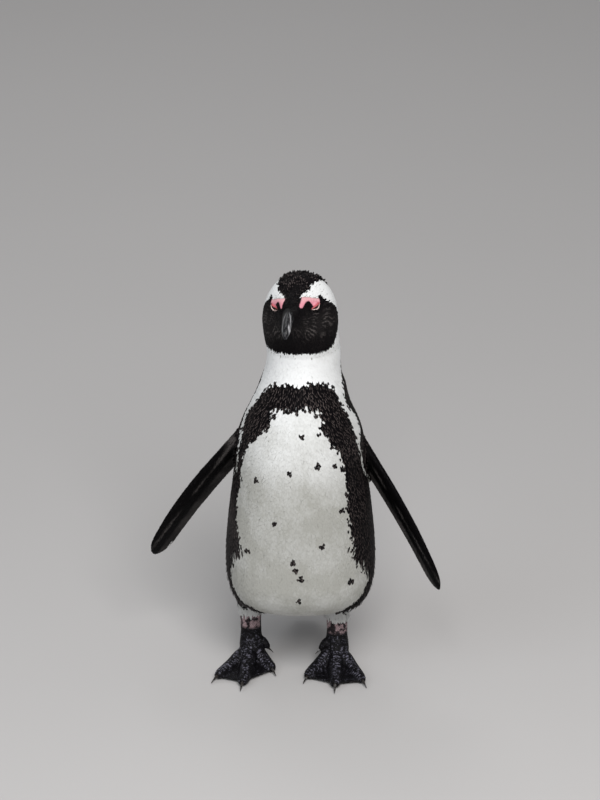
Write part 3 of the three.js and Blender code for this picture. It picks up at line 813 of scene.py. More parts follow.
# One feather: a thin closed vane of three cross rows and a tip. Each row gives its place along the
# feather, its share of the full width, the height of its ridge over its edges, and its lift.
VANE_ROWS = [(0.0, 0.45, 0.06, -0.12), (0.5, 1.0, 0.16, 0.5), (0.84, 0.74, 0.13, 0.88)]
VANE_CORNERS = 3 * len(VANE_ROWS) + 1
EDGE_TILT = (0.3, 0.2)  # how far the shading turns to the sides of a black and of a white vane
TIP_TILT = (0.2, 0.08)  # and how far it turns along them
FEATHER_MARKS = ("tone", "shade", "worn", "dull", "gloss")
PATCH = 0.003  # width of one feather's patch on the bake's map
PIECE_FEATHERS = 12000  # the most in one piece
HEAD_MIDDLE = 448.0  # height of the middle of the head, for its unwrapping
ALL = slice(None)


def vane_shape():
    """The corners of one feather: along, across, ridge, lift and shading tilt, and its triangles."""
    rows = []
    for at, width, ridge, lift in VANE_ROWS:
        rows += [(at, -width, 0, lift), (at, 0, ridge, lift), (at, width, 0, lift)]
    rows.append((1, 0, 0, 1))
    faces = [(0, 2, 1)]
    for ring in range(0, VANE_CORNERS - 4, 3):
        for a, b in ((0, 1), (1, 2), (2, 0)):
            a, b = ring + a, ring + b
            faces += [(a, b, b + 3), (a, b + 3, a + 3)]
    last = VANE_CORNERS - 4
    faces += [(last + a, last + b, last + 3) for a, b in ((0, 1), (1, 2), (2, 0))]
    return np.array(rows), np.array(faces)


def lay_feathers(name, skin, roots, chosen, map_place):
    """Makes the chosen feathers as one mesh that lies on the skin along the coat's flow."""
    shape, triangles = vane_shape()
    picked = {key: values[chosen] for key, values in roots.items()}
    count = len(picked["root"])
    if not 0 < count <= PIECE_FEATHERS:
        raise ValueError(f"{name} would hold {count} feathers; a piece holds 1 to {PIECE_FEATHERS}")
    up = unit(picked["up"])
    way = unit(picked["flow"] - up * dot(picked["flow"], up)[:, None])
    side = np.cross(way, up)
    ahead, across, ridge, lift = shape.T
    length, width = picked["length"][:, None, None], picked["width"][:, None, None]
    flat = picked["root"][:, None] + way[:, None] * length * ahead[:, None]
    flat = flat + side[:, None] * width * across[:, None]
    faces = (triangles[None] + np.arange(count)[:, None, None] * VANE_CORNERS).reshape(-1, 3)
    ob = object_from(name, flat.reshape(-1, 3), faces)
    under = sample_nearest(ob, skin, {"up": "FLOAT_VECTOR"})
    skin_up = unit(under["up"])
    height = picked["lift"][:, None] * lift + picked["width"][:, None] * ridge
    laid = under["nearest"] / MM + skin_up * height.reshape(-1, 1)
    place_all(ob.data, laid)
    edge_tilt, tip_tilt = [mix(*limits, picked["tone"])[:, None] for limits in (EDGE_TILT, TIP_TILT)]
    tilt = side[:, None] * (across * edge_tilt)[:, :, None]
    tilt = tilt + way[:, None] * ((ahead - 0.5) * tip_tilt)[:, :, None]
    shading = unit(skin_up + tilt.reshape(-1, 3))
    store(ob.data, "along", np.tile(ahead, count))
    store(ob.data, "across", np.tile(across, count))
    for key in FEATHER_MARKS:
        store(ob.data, key, np.repeat(picked[key], VANE_CORNERS))
    add_bake_map(ob.data, map_place(picked["root"]), ahead, across)
    ob.data.normals_split_custom_set_from_vertices(shading.tolist())
    return ob


def add_bake_map(mesh, spots, ahead, across):
    """Gives each feather a small patch of the map OFBake, at its root's place on the unwrapped skin."""
    low, high = spots.min(0), spots.max(0)
    spread = 0.005 + 0.99 * (spots - low) / np.maximum(high - low, 1e-9)
    patch = np.stack([across, 2 * ahead - 1], 1) * PATCH / 2
    corners_at = (spread[:, None] + patch).reshape(-1, 2).clip(0, 1)
    layer = mesh.uv_layers.new(name="OFBake")
    loops = read_column(mesh.loops, "vertex_index", 1, np.int32)
    layer.uv.foreach_set("vector", corners_at[loops].astype(np.float32).ravel())


def round_the_body(at):
    place = Place(at)
    return np.stack([place.angle, place.z], 1)


def round_the_crown(at):
    """Unwraps the head like a map round a pole: each place's distance from the crown, in its direction."""
    place = Place(at)
    held = np.stack([place.head_x, place.head_y, place.head_z - HEAD_MIDDLE], 1)
    fall = np.arccos(np.clip(unit(held)[:, 2], -1, 1))
    return unit(held[:, :2]) * fall[:, None]


def both_faces(name):
    """Unwraps a blade as its two flat sides laid next to each other."""
    centre, length, width, face = BLADES[name]

    def unwrap(at):
        held = at - centre
        reach = np.abs(held @ width).max() * 2.1
        return np.stack([held @ width + np.where(held @ face > 0, reach, 0), held @ length], 1)

    return unwrap


def round_the_legs(at):
    place = Place(at)
    ankles = zip(middle("leg_left"), middle("leg_right"))
    ankle_x, ankle_y, _ = [np.where(place.left, *pair) for pair in ankles]
    turn = np.degrees(np.arctan2(at[:, 0] - ankle_x, ankle_y - at[:, 1]))
    return np.stack([turn + np.where(place.left, 400, 0), place.z], 1)


SWAY = 0.16  # how far single feathers stray from the flow
SHOWN = 0.8  # the part of a feather that its neighbours leave bare, along its length
RAGGED, FLANK_RAGGED, HEAD_RAGGED = 2.0, 3.6, 1.1  # how far single feathers stray over a marking's edge
CLUMP = 5.0  # feathers this far apart stand up as one tuft
SPIKE_REACH = 4.0  # black feathers this near to a white edge are long and narrow
SLIM, WIDE = 0.55, 1.2  # how much narrower those are, and how wide the white ones of the body
TIPPED_REACH, TIPPED_LOW = 3, 3  # white feathers this near to a black edge have dark ends; low down more
TIPPED_FAR, TIPPED_STAND = 80, 1.4  # only in front of this angle, and how much more they stand out
FEW_FLECKS = 0.15  # how flecked the black feathers are where they are least worn
BILL_SHORTER, BILL_FLATTER = 0.42, 0.3  # how much shorter and flatter the feathers by the bill are
TUFT_LOOSE, TUFT_STAND = 0.6, 3.0  # how far single feathers and whole tufts of the crown stand up
CREASE_TURN = 6.5  # degrees between two creases that run out over the cheeks
# How dull the white feathers are at each height: the lower belly's dull cream is partly soil and partly
# painted shade, and the neck stays white.
BELLY_SOIL_AND_SHADE = [(70, 0.9), (110, 0.9), (150, 0.95), (230, 0.95), (270, 0.8), (300, 0.5), (330, 0.4)]
BELLY_SOIL_AND_SHADE += [(350, 0.2), (380, 0)]
QUILLS = 9  # long feathers on each face of the tail
QUILL_OUT = 3  # they start this far from its middle
QUILL_FAN = 0.12


def head_wear(at, tone):
    """Worn tufts on the crown, and pale creases that run out over the cheeks from the bill."""
    place = Place(at)
    _, beside, above = along_bill(at)
    rays = np.degrees(np.arctan2(above, np.abs(beside))) / CREASE_TURN + 0.5 * ripple(at, 17, 7)
    lines = smoothstep(np.sin(2 * math.pi * rays), -0.1, 0.8) * smoothstep(ripple(at, 13, 8), -0.6, 0.5)
    cheek = hump(np.abs(place.head_angle), 38, 27) * hump(place.head_z, 451, 12)
    crown = smoothstep(place.head_z, 474, 482)
    tufts = smoothstep(ripple(at, CLUMP, 9), -0.4, 0.8)
    worn = FEW_FLECKS + 2.1 * crown * tufts + 2.6 * cheek * lines
    creased = cheek * mix(0.15, np.where(beside > 0, 1.0, 1.3), lines)
    return worn, np.where(tone < TIPPED, creased, 0.0)


def flipper_wear_and_sheen(at, name):
    """A painted sheen streak along the front of each flipper, and a dull, uneven hind part."""
    centre, _, width, _ = BLADES[name]
    chord = (at - centre) @ width
    # The streak is painted sheen: a grey line where the glossy front of the flipper would catch the light.
    streak = hump(chord, -12, 1.5) * smoothstep(ripple(at, 38, 13), -0.8, 0.5)
    hind = (0.75 if name == "flipper_left" else 0.4) * smoothstep(chord, -1, 4)
    dull = 0.6 * streak + hind * mix(0.4, 1.0, smoothstep(ripple(at, 34, 14), -0.9, 0.6))
    return np.full(len(at), FEW_FLECKS), dull


def wear_and_painted_light(tract, at, tone):
    """How many brown flecks the black feathers have, and how dull the black and the white ones are. The dull
    white of the lower belly is partly soil and partly painted shade; the grey streak along the front of each
    flipper is a painted sheen.
    """
    if tract == "head":
        return head_wear(at, tone)
    if tract.startswith("flipper"):
        return flipper_wear_and_sheen(at, tract)
    place = Place(at)
    few = np.full(len(at), FEW_FLECKS)
    if tract == "legs":
        return few, np.full(len(at), 0.5)
    worn = mix(1.0, 0.3, smoothstep(place.away, 75, 110)) if tract == "body" else few
    right_flank = smoothstep(-place.x, 42, 60) * smoothstep(place.z, 260, 200)
    right_flank = right_flank * smoothstep(place.away, 105, 75)
    return worn, np.where(tone < TIPPED, 0.22 * right_flank, along(BELLY_SOIL_AND_SHADE, place.z))


def by_the_bill(place):
    return smoothstep(-place.head_y, 18, 40) * smoothstep(place.z, 440, 455)


def vary_head(roots, place, vary, rng):
    """Feathers are short by the bill, and stand up in tufts on the crown."""
    short = by_the_bill(place)
    vary["size"] *= 1 - BILL_SHORTER * short
    vary["stand"] *= 1 - BILL_FLATTER * short
    tufts = smoothstep(place.head_z, 472, 482) * (roots["tone"] == BLACK)
    clumps = smoothstep(ripple(roots["root"], CLUMP, 9), 0.1, 0.9)
    vary["stand"] *= 1 + tufts * (TUFT_LOOSE * rng.uniform(0, 1, len(tufts)) + TUFT_STAND * clumps)
    vary["sway"] *= 1 + tufts


def vary_body(roots, place, vary, rng, length):
    """White feathers near the black ones have dark ends. Black ones are long and loose at their edges."""
    black = roots["tone"] == BLACK
    count = len(black)
    spots = spotted(roots["root"] + roots["flow"] * length)
    reach = TIPPED_REACH + TIPPED_LOW * smoothstep(place.z, 230, 180)
    edged = black_coat(roots["shown"] + rng.uniform(-1, 1, (count, 3)) * reach[:, None])
    roots["tone"][(spots | edged & (place.away < TIPPED_FAR)) & ~black] = TIPPED
    vary["stand"][roots["tone"] == TIPPED] *= TIPPED_STAND
    hem = smoothstep(place.z, 185, 120) * smoothstep(place.away, 35, 55) * black
    clumps = smoothstep(ripple(roots["root"], CLUMP, 10), 0, 0.9)
    loose = hem * (0.5 * rng.uniform(0, 1, count) + 0.5 * clumps)
    low = smoothstep(place.z, 120, 95)
    reaching = black & ~black_coat(roots["shown"] + roots["flow"] * SPIKE_REACH)
    reaching &= place.away < mix(60, 100, smoothstep(place.z, 230, 200))
    high = mix(0.25, 1, smoothstep(place.z, 260, 210))
    spike = reaching * rng.uniform(0, 1, count) ** 0.7 * high
    longer = np.maximum(loose, spike)
    vary["size"] *= 1 + (0.8 + 0.4 * low) * longer
    vary["width"] = np.where(black, 1 - SLIM * longer, WIDE)
    vary["stand"] *= 1 + (2.0 + 2.0 * low) * loose + 0.6 * spike
    vary["sway"] *= np.where(black, 1 + hem, 0.5)
    vary["stand"] *= np.where(black, 1, 0.85)


def grow_feathers(skin, tract, spacing, length, width, lift, seed):
    """Scatters the roots of one tract's feathers, with sizes and markings that vary a little."""
    roots = scatter(skin, TRACTS[tract], spacing, seed, ["up", "flow"])
    count = len(roots["root"])
    rng = np.random.default_rng(seed)
    place = Place(roots["root"])
    vary = {"size": rng.uniform(0.85, 1.15, count), "stand": rng.uniform(0.8, 1.1, count)}
    vary.update({"sway": rng.normal(0, SWAY, count), "width": 1})
    ragged = mix(RAGGED, FLANK_RAGGED, smoothstep(place.z, 215, 180))
    if tract == "head":
        ragged = HEAD_RAGGED * (1 - 0.7 * by_the_bill(place))
    shown = roots["root"] + roots["flow"] * (length * SHOWN)
    roots["shown"] = shown + rng.uniform(-1, 1, (count, 3)) * ragged[:, None]
    roots["tone"] = np.where(black_coat(roots["shown"]), BLACK, WHITE)
    if tract == "head":
        vary_head(roots, place, vary, rng)
    if tract == "body":
        vary_body(roots, place, vary, rng, length)
    roots["length"] = length * vary["size"]
    roots["width"] = width * vary["size"] * vary["width"]
    roots["lift"] = lift * vary["stand"]
    roots["shade"] = rng.uniform(0, 1, count)
    roots["flow"] = unit(roots["flow"] + np.cross(roots["up"], roots["flow"]) * vary["sway"][:, None])
    roots["worn"], roots["dull"] = wear_and_painted_light(tract, roots["root"], roots["tone"])
    roots["gloss"] = np.full(count, 1.0 if tract in BLADES else 0.0)
    if tract == "head":
        ends = roots["root"] + roots["flow"] * roots["length"][:, None]
        clear = bare_face(ends) < 0.5
        roots = {key: values[clear] for key, values in roots.items()}
    return roots


def tail_quills():
    """The long stiff feathers of the tail, side by side over both of its faces."""
    centre, length, width, face = BLADES["tail"]
    at = places(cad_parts["tail"].data) - centre
    reach, half = np.abs(at @ length).max(), np.abs(at @ width).max()
    spread, side = [values.ravel() for values in np.meshgrid(np.linspace(-1, 1, QUILLS), (-1.0, 1.0))]
    count = len(spread)
    flow = length + width * (QUILL_FAN * spread)[:, None]
    start = -0.75 * reach + QUILL_FAN * reach * np.abs(spread)
    root = centre + length * start[:, None]
    root = root + width * (0.6 * half * spread)[:, None] + face * side[:, None] * QUILL_OUT
    quills = {"root": root, "flow": flow, "up": face * side[:, None]}
    fixed = {"length": 1.55 * reach, "width": 0.85 * half / QUILLS, "lift": 1.6}
    fixed.update({"tone": BLACK, "worn": 0.3, "dull": 0.0, "gloss": 0.6})
    quills.update({key: np.full(count, value) for key, value in fixed.items()})
    quills["shade"] = np.random.default_rng(43).uniform(0, 1, count)
    return quills


# ---- settings --------------------------------------------------------------------------------


def size_property(name, description, default):
    """A length in metres, given in millimetres."""
    return FloatProperty(name=name, description=description, default=default * MM, min=0, unit="LENGTH")


def colour_property(name, description, default):
    return FloatVectorProperty(
        name=name, description=description, default=default, size=4, min=0, max=1, subtype="COLOR"
    )


class PenguinSkin(bpy.types.PropertyGroup):
    voxel: size_property("Voxel", "Fineness of the skin as it is first joined", 1.0)
    triangles: IntProperty(name="Triangles", description="Triangles of the finished skin", default=180000)
    # The pale colour of the painted highlights on the scutes and of the painted glints on the feet.
    scute_highlight_colour: colour_property("Scute highlights", "Light edges of the scutes on the toes", (0.24, 0.235, 0.3, 1))
    foot_colour: colour_property("Feet", "Bare skin of feet and shanks", (0.003, 0.0027, 0.0036, 1))
    ankle_colour: colour_property("Ankles", "Paler, pinkish skin over the ankles", (0.49, 0.355, 0.375, 1))
    pink_colour: colour_property("Pink", "Bare skin over the eyes", (0.76, 0.31, 0.38, 1))
    flush_colour: colour_property("Flush", "Deeper pink close to the lids", (0.5, 0.1, 0.115, 1))
    rim_colour: colour_property("Lid rim", "Pale rim of the lower lid", (0.85, 0.66, 0.62, 1))


class PenguinPlumage(bpy.types.PropertyGroup):
    body_spacing: size_property("Body spacing", "Least distance between the body's feathers", 1.9)
    body_length: size_property("Body length", "Length of the body's feathers", 7.5)
    body_width: size_property("Body width", "Half the width of the body's feathers", 1.45)
    body_lift: size_property("Body lift", "How far the body's feather tips stand over the skin", 1.25)
    head_spacing: size_property("Head spacing", "Least distance between the head's feathers", 1.2)
    head_length: size_property("Head length", "Length of the head's feathers", 4.2)
    head_width: size_property("Head width", "Half the width of the head's feathers", 0.85)
    head_lift: size_property("Head lift", "How far the head's feather tips stand over the skin", 0.85)
    flipper_spacing: size_property("Flipper spacing", "Least distance between flipper feathers", 1.75)
    flipper_length: size_property("Flipper length", "Length of the flipper feathers", 4.6)
    flipper_width: size_property("Flipper width", "Half the width of the flipper feathers", 1.25)
    flipper_lift: size_property("Flipper lift", "How far flipper feather tips stand over the skin", 0.5)
    black: colour_property("Black", "Black feathers", (0.0036, 0.003, 0.0038, 1))
    fleck: colour_property("Fleck", "Worn brownish tips among the black feathers", (0.15, 0.123, 0.118, 1))
    white: colour_property("White", "White feathers", (0.9, 0.915, 0.925, 1))
    # The belly's dull cream, partly soil and partly painted shade. The skin under the white feathers has it
    # too.
    shaded_cream: colour_property("Dull", "Duller feathers of the belly", (0.43, 0.43, 0.4, 1))


class PenguinHorn(bpy.types.PropertyGroup):
    bill_colour: colour_property("Bill", "Dark horn of the bill", (0.009, 0.009, 0.011, 1))
    # The pale horn of the band and worn edges, which also carries the painted highlights on the bill's left
    # side.
    band_and_highlight_colour: colour_property("Bill band and highlight", "Pale edges and band of the bill", (0.6, 0.6, 0.63, 1))
    claw_colour: colour_property("Claws", "Horn of the claws", (0.028, 0.024, 0.022, 1))
    iris_colour: colour_property("Iris", "Brown of the iris", (0.05, 0.018, 0.01, 1))


class PenguinStage(bpy.types.PropertyGroup):
    distance: FloatProperty(name="Camera distance", default=5.5, unit="LENGTH",
                            description="From the camera to the middle of the bird")
    elevation: FloatProperty(name="Elevation", default=math.radians(25), subtype="ANGLE",
                             description="How far the camera looks down")
    lens: FloatProperty(name="Lens", default=214.8, description="Focal length in millimetres")
    world_light: FloatProperty(name="Sky light", default=0.3, description="Strength of the even light")
    key_light: FloatProperty(name="Key light", default=26.0, description="Power of the main lamp in watts")
    floor_colour: colour_property("Floor", "Plain floor", (0.54, 0.53, 0.53, 1))


# ---- materials -------------------------------------------------------------------------------

SURFACE = {"Color": "colour", "Roughness": "value", "Height": "value"}
GLOSSY_BLACK = (0.0008, 0.0007, 0.0009, 1)  # the black of flippers and tail
WASHED_AND_SHEEN_BLACK = (0.15, 0.137, 0.134, 1)  # black feathers where they are dull, and along the flippers' painted sheen streak
SHADED_BASE_HORN = (0.004, 0.004, 0.004, 1)  # painted shade on the bill by the edge of the feathers, where it runs in under them
PUPIL = (0.004, 0.004, 0.005, 1)
IRIS_STREAKS, IRIS_RIM = (0.06, 0.028, 0.018, 1), (0.02, 0.008, 0.006, 1)
PUPIL_EDGE, IRIS_EDGE = (15.5, 17.0), (30.0, 34.0)  # degrees round the eyeball from the way it looks
BARBS, BARB_SLANT = 7.0, 2.2  # barbs over a feather's length, and how far they run on towards its edge


class Value:
    """What a shader node gives: a number, a colour or a place. Sums on it add the nodes that do them."""

    def __init__(self, socket):
        self.socket = socket

    def add(self, kind, inputs, output=0, **settings):
        """Adds a node to the tree that this value is in, and gives its output."""
        return Value(out(node(self.socket.id_data, kind, inputs, **settings), output))

    def sum(self, operation, other=0.0):
        return self.add("ShaderNodeMath", {0: self, 1: other}, operation=operation)

    def __mul__(self, other):
        return self.sum("MULTIPLY", other)

    def __add__(self, other):
        return self.sum("ADD", other)

    def __sub__(self, other):
        return self.sum("SUBTRACT", other)

    def __rsub__(self, other):
        return self.add("ShaderNodeMath", {0: other, 1: self}, operation="SUBTRACT")

    def between(self, first, second):
        """Mixes two colours. This value is the share of the second."""
        return self.add("ShaderNodeMix", {"Factor": self, "A": first, "B": second}, data_type="RGBA")


def clamp(value):
    return value.add("ShaderNodeClamp", {0: value})


def ramp(value, low, high, to_low=0.0, to_high=1.0):
    """A value's smooth rise from one number to another between two limits."""
    inputs = {"Value": value, "From Min": low, "From Max": high, "To Min": to_low, "To Max": to_high}
    return value.add("ShaderNodeMapRange", inputs, interpolation_type="SMOOTHSTEP")


def noise(at, scale, detail=2.0):
    return at.add("ShaderNodeTexNoise", {"Vector": at, "Scale": scale, "Detail": detail})


def uneven(at, scale, low, high, *levels, detail=4.0):
    """Uneven patches of noise, from 0 to 1 or between two levels. `low` and `high` set their edges."""
    return ramp(noise(at, scale, detail), low, high, *levels)


def mark(place, name):
    """One of the marks that the mesh carries."""
    return place.add("ShaderNodeAttribute", {}, "Fac", attribute_name=name)


def shader_group(name, inputs, outputs):
    """A new shader node group: its inputs by name, and the node that its outputs go to."""
    tree = bpy.data.node_groups.new(name, "ShaderNodeTree")
    kinds = {"colour": "NodeSocketColor", "value": "NodeSocketFloat", "vector": "NodeSocketVector"}
    for way, sockets in (("INPUT", inputs), ("OUTPUT", outputs)):
        for label, kind in sockets.items():
            tree.interface.new_socket(label, in_out=way, socket_type=kinds[kind])
    start = tree.nodes.new("NodeGroupInput")
    return {o.name: Value(o) for o in start.outputs}, tree.nodes.new("NodeGroupOutput")


def build_feather_colour(name):
    """Colours a feather from its markings: a worn streak to the tip, fine barbs with painted shade between
    them and towards the root, and a slow change.
    """
    values = ("Tone", "Along", "Across", "Shade", "Worn", "Dull", "Gloss")
    inputs = {**dict.fromkeys(values, "value"), "Place": "vector"}
    inputs.update(dict.fromkeys(("Black", "Fleck", "White", "Cream"), "colour"))
    given, end = shader_group(name, inputs, SURFACE)
    tone, ahead, shade, dull, gloss = [given[key] for key in ("Tone", "Along", "Shade", "Dull", "Gloss")]
    slow = noise(given["Place"], 28.0)
    side = given["Across"].sum("ABSOLUTE")

    # A tipped feather is white but for its dark end.
    tipped = tone.add("ShaderNodeMath", {0: tone, 1: TIPPED, 2: 0.2}, operation="COMPARE")
    dark_end = ramp(ahead, 0.28, 0.62) * ramp(side, 0.9, 1.6, 1.0, 0.0)
    tone = tone + tipped * (WHITE - TIPPED) - tipped * dark_end

    # Black: a brown streak to a worn tip, deeper on glossy feathers, and greyer on dull ones and along the
    # flippers' painted sheen streak.
    streak = ramp(ahead, 0.5, 0.8) * ramp(side, 0.05, 0.4, 1.0, 0.0)
    fleck = ramp(shade, 0.05, 0.85) * given["Worn"] * streak * ramp(slow, 0.3, 0.7, 0.5, 1.0)
    dark = fleck.between(given["Black"], given["Fleck"])
    dark = (gloss * 0.7).between(dark, GLOSSY_BLACK)
    washed_and_sheen = dull * ramp(slow, 0.3, 0.7, 0.6, 1.0) * (1.0 - tipped)
    dark = washed_and_sheen.between(dark, WASHED_AND_SHEEN_BLACK)

    # White, duller in slow patches, from feather to feather, and down the belly, where the dullness is partly
    # soil and partly painted shade.
    varied = dull + ramp(slow, 0.3, 0.75, -0.12, 0.14) + ramp(shade, 0.0, 1.0, -0.06, 0.06)
    pale = clamp(varied).between(given["White"], given["Cream"])
    colour = tone.between(dark, pale)

    # Painted shade: darker between the barbs, and towards the root, where the feathers that lie over it would
    # shade it.
    barbs = ((ahead * BARBS + side * BARB_SLANT) * (2 * math.pi)).sum("SINE")
    # The depth of that painted shade: deeper on black feathers than on white.
    low = ramp(tone, 0.0, 1.0, 0.72, 0.95)
    shade_between_barbs = {"Value": barbs, "From Min": -1.0, "From Max": 1.0, "To Min": low}
    shade_under_neighbours = {"Value": ahead, "From Max": 0.5, "To Min": low}
    for inputs in (shade_between_barbs, shade_under_neighbours):
        painted_shade = ahead.add("ShaderNodeMapRange", inputs)
        shade_grey = painted_shade.add("ShaderNodeCombineColor", {0: painted_shade, 1: painted_shade, 2: painted_shade})
        inputs = {"Factor": 1.0, "A": colour, "B": shade_grey}
        colour = colour.add("ShaderNodeMix", inputs, data_type="RGBA", blend_type="MULTIPLY")
    roughness = ramp(shade, 0.0, 1.0, 0.55, 0.68) + tone * 0.2 - gloss * 0.1
    connect(end, {"Color": colour, "Roughness": roughness, "Height": barbs})
    return end.id_data


def build_skin_grain(name):
    """Fine pebbles and creases of bare skin: a height and a mask of the creases."""
    inputs, outputs = {"Place": "vector", "Scale": "value"}, {"Height": "value", "Creases": "value"}
    given, end = shader_group(name, inputs, outputs)
    place = given["Place"]
    inputs = {"Vector": place, "Scale": given["Scale"]}
    pebble = ramp(place.add("ShaderNodeTexVoronoi", inputs, feature="DISTANCE_TO_EDGE"), 0.0, 0.22)
    connect(end, {"Height": pebble + noise(place, 900.0) * 0.3, "Creases": 1.0 - pebble})
    return end.id_data


def build_horn_grain(name):
    """Streaks along horn, scuffed chalky places, and the pale band and edges with their painted highlights: a
    colour, a roughness and a height.
    """
    inputs = {"Place": "vector", "Dark": "colour", "Pale": "colour", "Band": "value"}
    given, end = shader_group(name, inputs, SURFACE)
    place = given["Place"]
    squeezed = place.add("ShaderNodeMapping", {"Vector": place, "Scale": (900.0, 120.0, 420.0)})
    streaks = noise(squeezed, 1.0, 4.0)
    scuffs = uneven(place, 260.0, 0.5, 0.72)
    chalk = scuffs * ramp(streaks, 0.4, 0.65)
    colour = clamp(chalk * 0.35 + given["Band"]).between(given["Dark"], given["Pale"])
    roughness = ramp(scuffs, 0.0, 1.0, 0.3, 0.55)
    connect(end, {"Color": colour, "Roughness": roughness, "Height": streaks})
    return end.id_data


def new_material(name):
    """A material, its Principled shader, and the place on the object in metres."""
    material = bpy.data.materials.new(name)
    material.use_nodes = True
    tree = material.node_tree
    shader = next(n for n in tree.nodes if n.type == "BSDF_PRINCIPLED")
    return material, shader, Value(out(node(tree, "ShaderNodeTexCoord"), "Object"))


def shared_group(name, build, inputs):
    """Adds a shader group to a material. The first material that asks for it builds it."""
    made = inputs["Place"].socket.id_data.nodes.new("ShaderNodeGroup")
    made.node_tree = bpy.data.node_groups.get(name) or build(name)
    connect(made, inputs)
    return {o.name: Value(o) for o in made.outputs}


def bump(height, strength, distance):
    """The normal of a surface with a fine relief, `distance` in millimetres."""
    inputs = {"Height": height, "Strength": strength, "Distance": distance * MM}
    return height.add("ShaderNodeBump", inputs)


def feather_material():
    found = bpy.data.materials.get("feathers")
    if found:
        return found
    coat = bpy.context.scene.penguin_plumage
    material, shader, place = new_material("feathers")
    inputs = {"Place": place, "Black": coat.black, "Fleck": coat.fleck}
    inputs.update({"White": coat.white, "Cream": coat.shaded_cream})
    inputs.update({label.title(): mark(place, label) for label in ("along", "across", *FEATHER_MARKS)})
    vane = shared_group("Feather colour", build_feather_colour, inputs)
    inputs = {"Base Color": vane["Color"], "Roughness": vane["Roughness"], "Specular IOR Level": 0.05}
    connect(shader, {**inputs, "Normal": bump(vane["Height"], 0.2, 0.06)})
    return material


def foot_colour(place, creases, skin):
    """Black feet with painted highlights on the scutes, painted glints and painted shade in the creases, and
    pinkish ankles with black patches.
    """
    blotches = uneven(place, 190.0, 0.44, 0.6)
    # Painted glints, in patches, fewer on the webs.
    painted_glints = uneven(place, 560.0, 0.54, 0.68)
    pale = painted_glints * ramp(blotches, 0.0, 1.0, 0.05, 0.75) * ramp(mark(place, "web"), 0.0, 1.0, 1.0, 0.6)
    colour = pale.between(skin.foot_colour, skin.scute_highlight_colour)
    rows = mark(place, "scute") * uneven(place, 300.0, 0.48, 0.62, detail=2.0)
    colour = (rows * 0.7).between(colour, skin.scute_highlight_colour)
    patches = uneven(place, 150.0, 0.47, 0.57, 1.0, 0.06)
    colour = (mark(place, "ankle") * patches).between(colour, skin.ankle_colour)
    # Painted shade in the creases between the pebbles.
    return (creases * 0.6).between(colour, skin.foot_colour)


def skin_material():
    skin = bpy.context.scene.penguin_skin
    coat = bpy.context.scene.penguin_plumage
    material, shader, place = new_material("skin")
    grain = shared_group("Skin grain", build_skin_grain, {"Place": place, "Scale": 620.0})
    creases = grain["Creases"]
    colour = mark(place, "tone").between(coat.black, coat.shaded_cream)
    feet = foot_colour(place, creases, skin)
    colour = mark(place, "bare").between(colour, feet)
    pink = ramp(mark(place, "flush"), 0.0, 1.0).between(skin.pink_colour, skin.flush_colour)
    colour = mark(place, "pink").between(colour, pink)
    colour = mark(place, "rim").between(colour, skin.rim_colour)
    inputs = {"Base Color": colour, "Roughness": ramp(creases, 0.0, 1.0, 0.38, 0.58)}
    connect(shader, {**inputs, "Specular IOR Level": 0.12, "Normal": bump(grain["Height"], 0.5, 0.25)})
    return material


def horn_material(name, dark, pale):
    material, shader, place = new_material(name)
    inputs = {"Place": place, "Dark": dark, "Pale": pale, "Band": mark(place, "band")}
    grain = shared_group("Horn grain", build_horn_grain, inputs)
    matt = mark(place, "matt")
    # Painted shade near the bill's root, by the feathers.
    colour = (matt * 0.85).between(grain["Color"], SHADED_BASE_HORN)
    inputs = {"Base Color": colour, "Roughness": grain["Roughness"] + matt * 0.4}
    connect(shader, {**inputs, "Specular IOR Level": 0.25, "Normal": bump(grain["Height"], 0.35, 0.15)})
    return material


def eye_material():
    horn = bpy.context.scene.penguin_horn
    material, shader, place = new_material("eye")
    gaze = mark(place, "gaze")
    streaks = noise(place, 1500.0, 3.0)
    iris = ramp(streaks, 0.35, 0.7).between(horn.iris_colour, IRIS_STREAKS)
    iris = ramp(gaze, *IRIS_EDGE).between(iris, IRIS_RIM)
    colour = ramp(gaze, *PUPIL_EDGE).between(PUPIL, iris)
    inputs = {"Base Color": colour, "Roughness": 0.1, "Specular IOR Level": 0.35, "Coat Weight": 0.15}
    connect(shader, inputs)
    return material


def floor_material(colour):
    material, shader, place = new_material("floor")
    paler = tuple(min(1.0, value * 1.1) for value in colour[:3]) + (1.0,)
    patched = uneven(place, 3.0, 0.3, 0.7, 0.0, 0.06, detail=2.0).between(colour, paler)
    connect(shader, {"Base Color": patched, "Roughness": 0.9, "Specular IOR Level": 0.1})
    return material


# ---- operators -------------------------------------------------------------------------------

EYE_FINENESS = (9.5, 8.6)  # the skin is refined twice, this far round each eye
WRINKLE = 0.16  # height of the wrinkles in the pink skin
CROWN_SPLIT, NECK_SPLIT, BREAST_SPLIT = 474, 345, 225  # heights where pieces of the coat meet
FRONT, FACE_SIDE = 90, 95  # angles where the front pieces meet the back ones
# Spacing, length, half width and lift of the tail's feathers, against the flippers', and of the thighs'.
TAIL_SHARES = (1.1, 1.7, 1.2, 1.4)
THIGH_SIZES = (1.15, 8.0, 0.75, 2.4)


def finish_piece(ob, material, replaced=()):
    """Gives a piece its material and its place in the frame."""
    ob.data.materials.clear()
    ob.data.materials.append(material)
    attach(ob, "root")
    if replaced:
        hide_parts(*replaced)


def fine_skin():
    """The full skin under the plumage, which the feathers are laid on."""
    found = bpy.data.objects.get("skin_fine")
    if found is None:
        raise RuntimeError("add the skin first: the feathers grow from it")
    return found


def coat_sizes(part):
    """Spacing, length, half width and lift of one part's feathers, in millimetres."""
    coat = bpy.context.scene.penguin_plumage
    return [getattr(coat, f"{part}_{size}") / MM for size in ("spacing", "length", "width", "lift")]


